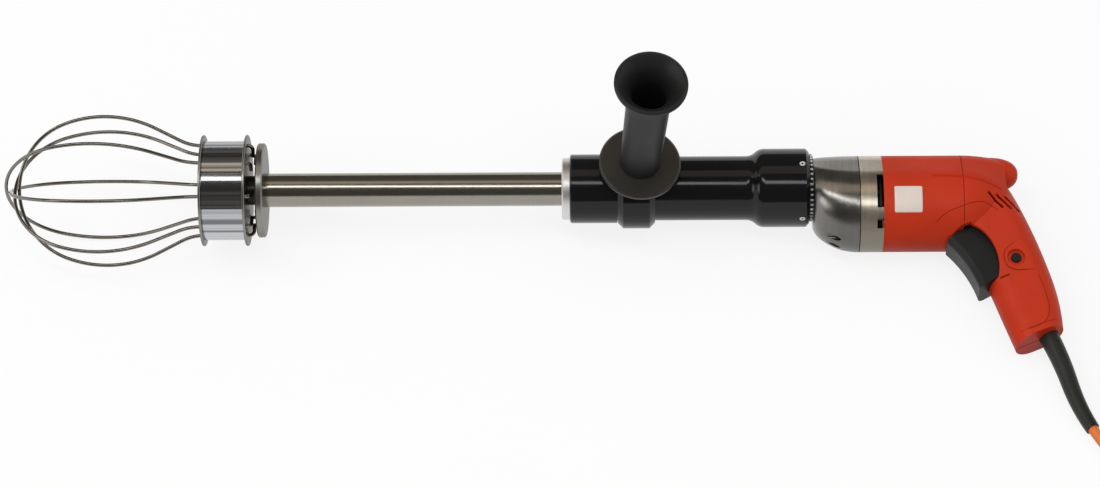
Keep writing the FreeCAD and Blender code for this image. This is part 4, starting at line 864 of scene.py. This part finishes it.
@dataclass
class MainsCord:
    """Orange mains cord: lead from the strain relief, tied coil outside the picture and tail to the plug."""

    diameter: float = 0.0085
    length: float = 4.006
    tip: Vector = field(default_factory=lambda: Vector((0.4394891, -0.1417275, 0.0063785)))
    coil_middle: Vector = field(default_factory=lambda: Vector((0.5444891, -0.1229275, 0.0000785)))
    lead_turns: tuple[Place, ...] = (
        (0.0070274, -0.0143741, 0.0), (0.0195, -0.0295, -0.002), (0.038, -0.04, -0.002),
        (0.0685098, -0.0453441, -0.00055))
    tail_turns: tuple[Place, ...] = (
        (0.03749, -0.0641672, 0.03335), (0.066, -0.056, 0.025), (0.089, -0.042, 0.017),
        (0.104, -0.021, 0.0092), (0.11, 0.004, 0.0092))
    layers: int = 4
    turns: int = 3
    pitch: float = 0.0092
    middle_radius: float = 0.0495
    foot: float = 0.00575
    climb: float = 0.5
    points_per_turn: int = 24
    smoothness: int = 5

    def coil(self) -> list[Vector]:
        """Control points of the coil, in and out layer by layer.

        Returns:
            Points round the coil.
        """
        outer = self.middle_radius + self.turns * self.pitch / 2
        swell = 1 / math.cos(math.pi / self.points_per_turn)
        count = self.layers * self.turns * self.points_per_turn
        points = []
        for i in range(count + 1):
            turn = i / self.points_per_turn
            layer = min(int(turn / self.turns), self.layers - 1)
            done = turn - layer * self.turns
            inset = done if layer % 2 == 0 else self.turns - done
            starts = [k * self.turns - self.climb / 2 for k in range(1, self.layers)]
            climbed = sum(min(1.0, max(0.0, (turn - start) / self.climb)) for start in starts)
            angle = 2 * math.pi * turn - math.pi / 2
            radius = (outer - self.pitch * inset) * swell
            spot = (radius * math.cos(angle), radius * math.sin(angle), self.foot + self.pitch * climbed)
            points.append(self.coil_middle + Vector(spot))
        return points

    def route(self) -> list[Vector]:
        """Control points of the whole cord.

        Returns:
            Points from the strain relief to the plug.
        """
        lead = [self.tip] + [self.tip + Vector(p) for p in self.lead_turns]
        tail = [self.coil_middle + Vector(p) for p in self.tail_turns]
        return lead + self.coil() + tail

    def build(self) -> None:
        points = self.route()
        data = bpy.data.curves.new("mains_cord", "CURVE")
        data.dimensions = "3D"
        spline = data.splines.new("NURBS")
        spline.points.add(len(points) - 1)
        for target, point in zip(spline.points, points):
            target.co = (*point, 1.0)
        spline.order_u = 3
        spline.use_endpoint_u = True
        spline.resolution_u = self.smoothness
        data.bevel_depth = self.diameter / 2
        data.bevel_resolution = self.smoothness
        data.use_fill_caps = True
        data.materials.append(CORD_SHEATH.material())
        cord = add_object("mains_cord", data)
        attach(cord, "body")
        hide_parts("cord_lead", "cord_coil", "cord_tail")
        dress({"cord_tie": SEAL_RUBBER, "mains_plug": CORD_SHEATH, "plug_pins": BRASS,
               "strain_relief": RELIEF_RUBBER})
        log.info("piece mains_cord: %d points", len(points))


@dataclass
class Whisk:
    """Wire cage with its drum."""

    wires: int = 4  # CAD nodes, each a wire with two legs

    def build(self) -> None:
        """Dress the wires and the drum."""
        dress({"whisk_wire_%d" % (i + 1): WHISK_STEEL for i in range(self.wires)})
        dress({"whisk_front_plate": PLATE_STEEL, "whisk_rear_plate": PLATE_STEEL, "whisk_sleeve": DRUM_STEEL,
               "whisk_hub": HUB_STEEL, "end_flange": PLATE_STEEL, "tool_stud": GEAR_STEEL})


@dataclass
class BearingHousing:
    """Drive tube and the black housing that carries it."""

    screw_x: float = -9.1
    screw_level: float = 32.1
    screw_radius: float = 2.3
    screw_angle: float = 82.0
    screws: int = 4

    def build(self) -> None:
        """Dress the nodes and give the clamp screws their sockets."""
        dress({"drive_tube": TUBE_STEEL, "drive_spindle": GEAR_STEEL, "coupling_sleeve": GEAR_STEEL,
               "bearing_housing": BLACK_HOUSING, "front_ring": BRIGHT_RING, "shaft_seal": SEAL_RUBBER,
               "front_bearing": BEARING_STEEL, "rear_bearing": BEARING_STEEL, "clamp_screws": SCREW_STEEL})
        for i in range(self.screws):
            angle = math.radians(self.screw_angle + 360 * i / self.screws)
            out = Vector((0, math.cos(angle), math.sin(angle)))
            at = Vector((self.screw_x, 0, 0)) + out * self.screw_level
            ScrewFace(self.screw_radius, DriveShape.HEX).build("clamp_screw_socket_%d" % (i + 1), at, out)


@dataclass
class SideHandle:
    """Swivelling handle on the housing."""

    def build(self) -> None:
        """Dress the ring, the collar and the handle."""
        dress({"handle_ring": BLACK_HOUSING, "handle_collar": COLLAR_PLASTIC, "handle_stud": SCREW_STEEL,
               "side_handle": HANDLE_PLASTIC})


@dataclass
class Gearbox:
    """Aluminium gear case with its screws, seam, neck ring, gears and bearings."""

    screw_faces: tuple[Place, ...] = (
        (0.4, 14.6, 14.6), (0.4, 14.6, -14.6), (23.4, -50.0, 6.0), (23.4, -50.0, -6.0))
    screw_radius: float = 2.8
    seam_x: float = 37.2
    seam_level: float = -12.0
    seam_span: float = 179.5
    seam_width: float = 0.9
    seam_rise: float = 0.06
    lip_width: float = 0.6
    lip_rise: float = 0.1
    neck_x: tuple[float, float] = (-2.7, -0.1)
    neck_radius: float = 26.5
    neck_foot: float = 24.8
    gap_rise: float = 0.2
    teeth: int = 38
    points_per_tooth: int = 8
    tooth_x: tuple[float, float] = (-2.5, -0.5)
    tooth_rise: float = 1.7
    tooth_sink: float = 0.2
    rim_round: float = 0.2
    rim_share: float = 0.93

    def neck_rings(self) -> None:
        """Ring of painted shade in the gap before the case, and the notched bright ring in it."""
        steps = self.points_per_tooth * self.teeth
        turns = full_turn(steps)
        flat = [self.gap_rise] * steps
        notched = [self.tooth_rise * max(0.0, math.cos(self.teeth * t)) - self.tooth_sink for t in turns]
        height = self.neck_radius - self.neck_foot
        for name, (front, back), rises, finish, slot in (
                # painted shade: a dark ring where the gap before the case is in shade
                ("neck_gap_shade_ring", self.neck_x, flat, DARK_GROOVE_AND_SHADE, "seal_rubber"),
                ("neck_notched_ring", self.tooth_x, notched, ZINC_FACE, "screw_steel")):
            section = ((front, 0.0), (front, self.rim_share), (front + self.rim_round, 1.0),
                       (back - self.rim_round, 1.0), (back, self.rim_share), (back, 0.0))
            rings = []
            for x, share in section:
                radii = [self.neck_foot + (height + rise) * share for rise in rises]
                rings.append([Vector((x, r * math.cos(t), r * math.sin(t))) for t, r in zip(turns, radii)])
            Mesh(rings, looped=True).piece(name, finish, slot, "body")

    def build(self) -> None:
        """Dress the nodes, mark the seam and the neck and give the case screws their cross recesses."""
        dress({"gearbox_front": CASE_ALUMINIUM, "gearbox_flange": FLANGE_ALUMINIUM,
               "gearbox_screws": SCREW_STEEL, "spindle_bearing": BEARING_STEEL,
               "spindle_bush": BRONZE, "countershaft_bushes": BRONZE,
               "output_spindle": GEAR_STEEL, "output_gear": GEAR_STEEL, "countershaft": GEAR_STEEL,
               "countershaft_gear": GEAR_STEEL, "armature_shaft": GEAR_STEEL})
        for i, place in enumerate(self.screw_faces):
            face = ScrewFace(self.screw_radius, DriveShape.CROSS)
            face.build("case_screw_face_%d" % (i + 1), Vector(place), Vector((-1, 0, 0)))
        skin = Skin("gearbox_front", "gearbox_flange")
        seam = skin.belt(self.seam_x, self.seam_level, self.seam_width, self.seam_rise, self.seam_span)
        seam.piece("case_seam", DARK_GROOVE_AND_SHADE, "case_aluminium", "body")
        lip_x = self.seam_x + self.seam_width
        lip = skin.belt(lip_x, self.seam_level, self.lip_width, self.lip_rise, self.seam_span)
        lip.piece("case_seam_edge", FLANGE_ALUMINIUM, "case_aluminium", "body")
        self.neck_rings()


@dataclass
class Motor:
    """Red motor housing with its inner parts and the bare badge plate."""

    badge_middle: tuple[float, float] = (76.2, -30.2)
    badge_half: tuple[float, float] = (11.3, 10.4)
    badge_corner: float = 1.2
    badge_thick: float = 0.7
    badge_rim: float = 0.08

    def build(self) -> None:
        """Dress the nodes and lay the badge plate on the housing."""
        dress({"motor_housing": BODY_RED, "stator_core": CORE_IRON, "field_coils": COPPER,
               "motor_front_bearing": BEARING_STEEL, "motor_rear_bearing": BEARING_STEEL,
               "armature_core": CORE_IRON, "armature_winding": COPPER, "commutator": COPPER,
               "cooling_fan": CONTROL_BLACK, "brush_holders": BRASS, "carbon_brushes": CARBON})
        outline = rounded_box(self.badge_middle, self.badge_half, self.badge_corner)
        plate = Skin("motor_housing").plate(outline, self.badge_thick, self.badge_rim)
        plate.piece("badge_plate", BARE_PLATE, "plate_steel", "body")


@dataclass(frozen=True)
class MouldLine:
    """A line laid on the shells, on both sides or on the lock's side alone: a moulded joint or groove, or a
    dark line of painted shade along a crease.
    """

    name: str
    points: Points
    width: float
    finish: Finish
    both: bool = True


@dataclass
class Grip:
    """Pistol grip with trigger, lock button, raised pad, moulded lines and lines of painted shade along two
    creases.
    """

    pad: Points = (
        (168.3, -60.5), (160.8, -64.7), (154.9, -69.8), (153.0, -74.2), (153.2, -79.4), (155.2, -84.2),
        (159.1, -87.1), (164.7, -88.2), (171.2, -87.8), (177.0, -87.0), (176.5, -79.5), (174.0, -71.0))
    pad_lined: int = 9  # places of the pad that the line before it follows
    pad_thick: float = 1.0
    pad_rim: float = 0.16
    lock_at: tuple[float, float] = (162.5, -77.4)
    lock_dish_radius: float = 7.3
    moulded: tuple[MouldLine, ...] = (
        # painted shade: a dark line along the crease where the grip's blend to the barrel starts
        MouldLine("shoulder_crease_shade", (
            (98.7, -47.0), (103.6, -43.0), (110.4, -39.3), (118.3, -36.6), (126.6, -33.8), (135.1, -31.8),
            (143.3, -32.6), (149.5, -36.7)), 0.7, LINE_SOFT),
        # painted shade: a dark line in the valley below the ridge
        MouldLine("ridge_crease_shade", (
            (96.0, -8.4), (112.0, -9.0), (128.0, -11.0), (142.0, -13.6), (153.0, -16.2)), 2.6, LINE_FAINT),
        MouldLine("grip_panel_line", (
            (179.6, -91.9), (183.4, -102.1), (186.0, -113.1), (187.1, -122.9), (185.9, -129.5),
            (183.0, -134.5), (177.2, -139.0), (169.5, -141.5)), 0.7, LINE_SOFT),
        MouldLine("grip_rim_line", (
            (163.0, -143.0), (175.5, -138.6), (185.0, -134.8), (194.0, -131.2)), 0.7, LINE_SOFT),
        MouldLine("trigger_notch", ((149.0, -94.6), (152.0, -93.6), (156.5, -92.4)), 1.4, LINE_DARK, False),
        MouldLine("lock_pad_line", pad[:pad_lined], 0.9, LINE_DARK, False))
    line_rise: float = 0.06
    beak_x: tuple[float, float] = (146.0, 169.7)
    beak_level: float = 11.2
    beak_radius: float = 14.3
    beak_round: tuple[float, float] = (2.2, 2.4)
    beak_rings: int = 24
    beak_last: float = 23.2  # ring number at which the beak would close to a point
    beak_points: int = 72
    end_middle: tuple[float, float] = (177.3, -143.9)
    end_tilt: float = 23.5
    end_seam: tuple[float, float] = (-17.0, 2.0)
    end_seam_width: float = 0.9
    parting_x: float = 121.5
    parting_level: float = -12.0
    parting_width: float = 0.55
    parting_span: float = 150.0
    screws: Points = ((146.0, 6.0), (168.0, -40.0), (178.0, -92.0), (166.0, -118.0))
    screw_level: float = -13.5
    screw_radius: float = 3.3

    def lines(self) -> None:
        """Lay each line on both sides or on the lock's side alone."""
        for side, ending in ((1, "left"), (-1, "right")):
            skin = Skin("motor_housing", "handle_shell_" + ending, side=side)
            for line in self.moulded:
                if line.both or side == 1:
                    bead = skin.bead(smooth_line(list(line.points)), line.width, self.line_rise)
                    bead.piece("%s_%s" % (line.name, ending), line.finish, "body_red", "body")

    def beak(self) -> None:
        """Smooth cover over the rounded end of the ridge."""
        front, tip = self.beak_x
        fall, swell = self.beak_round
        turns = full_turn(self.beak_points)
        rings = []
        for i in range(self.beak_rings):
            share = math.sin(math.pi / 2 * i / self.beak_last)
            x = front + (tip - front) * share
            radius = self.beak_radius * (1 - share**fall) ** (1 / swell)
            rings.append([Vector((x, self.beak_level + radius * math.cos(t), radius * math.sin(t)))
                          for t in turns])
        Mesh(rings).piece("beak_cover", BODY_RED, "body_red", "body")

    def end_line(self) -> None:
        """Joint of the two shells across the grip's end face."""
        tilt = math.radians(self.end_tilt)
        across = Vector((math.cos(tilt), math.sin(tilt), 0))
        out = Vector((math.sin(tilt), -math.cos(tilt), 0))
        middle = Vector((*self.end_middle, 0))
        rings = []
        for reach in self.end_seam:
            start = middle + across * reach
            rings.append([start + out * (self.line_rise * up) + Vector((0, 0, self.end_seam_width * s))
                          for s, up in BEAD])
        Mesh(rings).piece("grip_end_joint", LINE_DARK, "body_red", "body")

    def build(self) -> None:
        """Dress the nodes and lay the pad, lines and screw recesses on them."""
        dress({"handle_shell_left": BODY_RED, "handle_shell_right": BODY_RED, "shell_screws": SCREW_STEEL,
               "trigger": CONTROL_BLACK, "switch_body": CONTROL_BLACK, "lock_button": CONTROL_BLACK})
        self.lines()
        self.beak()
        self.end_line()
        outline = smooth_line(list(self.pad), closed=True)
        hole = circle(self.lock_at, self.lock_dish_radius, outline)
        pad = Skin("handle_shell_left").plate(outline, self.pad_thick, self.pad_rim, hole)
        pad.piece("lock_pad", BODY_RED, "body_red", "body")
        skin = Skin("motor_housing", "handle_shell_left", "handle_shell_right")
        parting = skin.belt(self.parting_x, self.parting_level, self.parting_width, self.line_rise,
                            self.parting_span)
        parting.piece("grip_parting_line", LINE_DARK, "body_red", "body")
        for i, (x, y) in enumerate(self.screws):
            face = ScrewFace(self.screw_radius, DriveShape.CROSS)
            face.build("shell_screw_face_%d" % (i + 1), Vector((x, y, self.screw_level)), Vector((0, 0, -1)))


@dataclass(frozen=True)
class SoftBox:
    """A soft box that faces the tool: place, direction of its long side, size in metres and watts."""

    name: str
    at: Place
    along: Place
    size: tuple[float, float]
    power: float


@dataclass(frozen=True)
class MirrorCard:
    """A long card between two angles, in degrees from the front over the top, and its brightness."""

    name: str
    low: float
    high: float
    tone: Colour


@dataclass
class Studio:
    """Pale floor, white surround, two soft boxes and the cards that the metal mirrors."""

    floor_size: float = 12.0
    floor_cells: int = 8
    floor_drop: float = 0.0006
    floor_glow: float = 0.82
    floor_rough: float = 0.8
    floor_bounce: Colour = (0.5, 0.5, 0.5)
    paper_tones: tuple[Colour, Colour] = ((0.86, 0.86, 0.86), (0.9, 0.9, 0.9))
    paper: Layer = Layer(Pattern.CLOUDS, 3.0, 4.0)
    white: Colour = (1.0, 1.0, 1.0)
    side_light: float = 0.45
    top_light: float = 0.86
    top_height: float = 0.9
    lamp_aim: Place = (0.0, 0.0, 0.05)
    lamps: tuple[SoftBox, ...] = (
        SoftBox("key_strip", (-0.25, -0.3, 1.7), (0.906, -0.423, 0.0), (3.0, 0.24), 12.0),
        SoftBox("left_soft", (-1.9, -0.9, 1.3), (0.4, -0.9, 0.0), (0.9, 0.9), 6.0))
    cards: tuple[MirrorCard, ...] = (
        MirrorCard("front_card", 11.0, 96.0, (0.1, 0.095, 0.085)),
        MirrorCard("warm_card", 96.0, 120.0, (0.7, 0.59, 0.48)),
        MirrorCard("rear_card", 120.0, 170.0, (0.12, 0.11, 0.1)))
    card_reach: float = 2.6
    card_half_length: float = 3.5
    card_hidden_from: tuple[str, ...] = ("camera", "diffuse", "transmission", "volume_scatter", "shadow")

    def lamp(self, box: SoftBox) -> None:
        """Add a soft box.

        Args:
            box: the light to add.
        """
        data = bpy.data.lights.new(box.name, "AREA")
        data.shape = "RECTANGLE"
        data.size, data.size_y = box.size
        data.energy = box.power
        back = (Vector(box.at) - Vector(self.lamp_aim)).normalized()
        side = (Vector(box.along) - back * Vector(box.along).dot(back)).normalized()
        turn = Matrix((side, back.cross(side), back)).transposed().to_4x4()
        add_object(box.name, data).matrix_world = Matrix.Translation(box.at) @ turn
        log.info("lamp %s", box.name)

    def card(self, kind: MirrorCard) -> None:
        """Hang a card that only mirror-like surfaces see.

        Args:
            kind: the card to hang.
        """
        corners = []
        for angle, ends in ((kind.low, (-1, 1)), (kind.high, (1, -1))):
            turn = math.radians(angle)
            y, z = -self.card_reach * math.cos(turn), self.card_reach * math.sin(turn)
            corners += [(end * self.card_half_length, y, z) for end in ends]
        data = bpy.data.meshes.new(kind.name)
        data.from_pydata(corners, [], [(0, 1, 2, 3)])
        material = bpy.data.materials.new(kind.name)
        material.use_nodes = True
        shader = Shader(material.node_tree)
        glow = shader.make("ShaderNodeEmission", {}, {"Color": kind.tone, "Strength": 1.0})
        shader.make("ShaderNodeOutputMaterial", {}, {"Surface": glow})
        data.materials.append(material)
        card = add_object(kind.name, data)
        for way in self.card_hidden_from:
            setattr(card, "visible_" + way, False)
        log.info("card %s", kind.name)

    def seen(self, shader: Shader) -> Value:
        """Tell the rays that look from the rays that only light.

        Args:
            shader: shader to add the test to.

        Returns:
            1 where a camera, glossy or clear ray looks, else 0.
        """
        kinds = ("Is Camera Ray", "Is Glossy Ray", "Is Transmission Ray")
        rays = [shader.make("ShaderNodeLightPath", output=kind) for kind in kinds]
        return rays[0].highest(rays[1]).highest(rays[2])

    def world(self) -> None:
        """White surround for the eye; for the object, stronger light from above than from the sides."""
        world = bpy.data.worlds.new("studio_surround")
        world.use_nodes = True
        shader = Shader(world.node_tree)
        direction = shader.make("ShaderNodeTexCoord", output="Generated")
        height = shader.make("ShaderNodeSeparateXYZ", {}, {0: direction}, "Z")
        sides, top, white = (
            shader.make("ShaderNodeBackground", {}, {"Color": self.white, "Strength": strength})
            for strength in (self.side_light, self.top_light, 1.0))
        share = height.over(0.0, self.top_height)
        soft = shader.make("ShaderNodeMixShader", {}, {0: share, 1: sides, 2: top})
        both = shader.make("ShaderNodeMixShader", {}, {0: self.seen(shader), 1: soft, 2: white})
        shader.make("ShaderNodeOutputWorld", {}, {"Surface": both})
        bpy.context.scene.world = world

    def floor(self) -> None:
        """Large pale sheet under the tool that keeps a soft shadow and throws little light up."""
        form = bmesh.new()
        cells = self.floor_cells
        bmesh.ops.create_grid(form, x_segments=cells, y_segments=cells, size=self.floor_size / 2)
        data = bpy.data.meshes.new("studio_floor")
        form.to_mesh(data)
        form.free()
        material = bpy.data.materials.new("pale_floor")
        material.use_nodes = True
        shader = Shader(material.node_tree)
        tone = shader.blend(shader.pattern(self.paper), *self.paper_tones)
        matt, dull = (
            shader.make("ShaderNodeBsdfDiffuse", {}, {"Color": colour, "Roughness": self.floor_rough})
            for colour in (tone, self.floor_bounce))
        glow = shader.make("ShaderNodeEmission", {}, {"Color": self.white, "Strength": 1.0})
        shown = shader.make("ShaderNodeMixShader", {}, {0: self.floor_glow, 1: matt, 2: glow})
        both = shader.make("ShaderNodeMixShader", {}, {0: self.seen(shader), 1: dull, 2: shown})
        shader.make("ShaderNodeOutputMaterial", {}, {"Surface": both})
        data.materials.append(material)
        floor = add_object("studio_floor", data)
        floor.location = (0.0, 0.0, -self.floor_drop)

    def build(self) -> None:
        """Set up the surround, the floor, the lamps, the cards and the view."""
        self.world()
        self.floor()
        for box in self.lamps:
            self.lamp(box)
        for kind in self.cards:
            self.card(kind)
        bpy.context.scene.view_settings.view_transform = "Standard"


def main() -> None:
    """Build camera, cord, pieces and studio in order."""
    logging.basicConfig(level=logging.INFO, format="%(name)s: %(message)s")
    PhotoCamera().build()
    for part in (MainsCord(), Whisk(), BearingHousing(), SideHandle(), Gearbox(), Motor(), Grip(), Studio()):
        part.build()


if __name__ == "__main__":
    main()
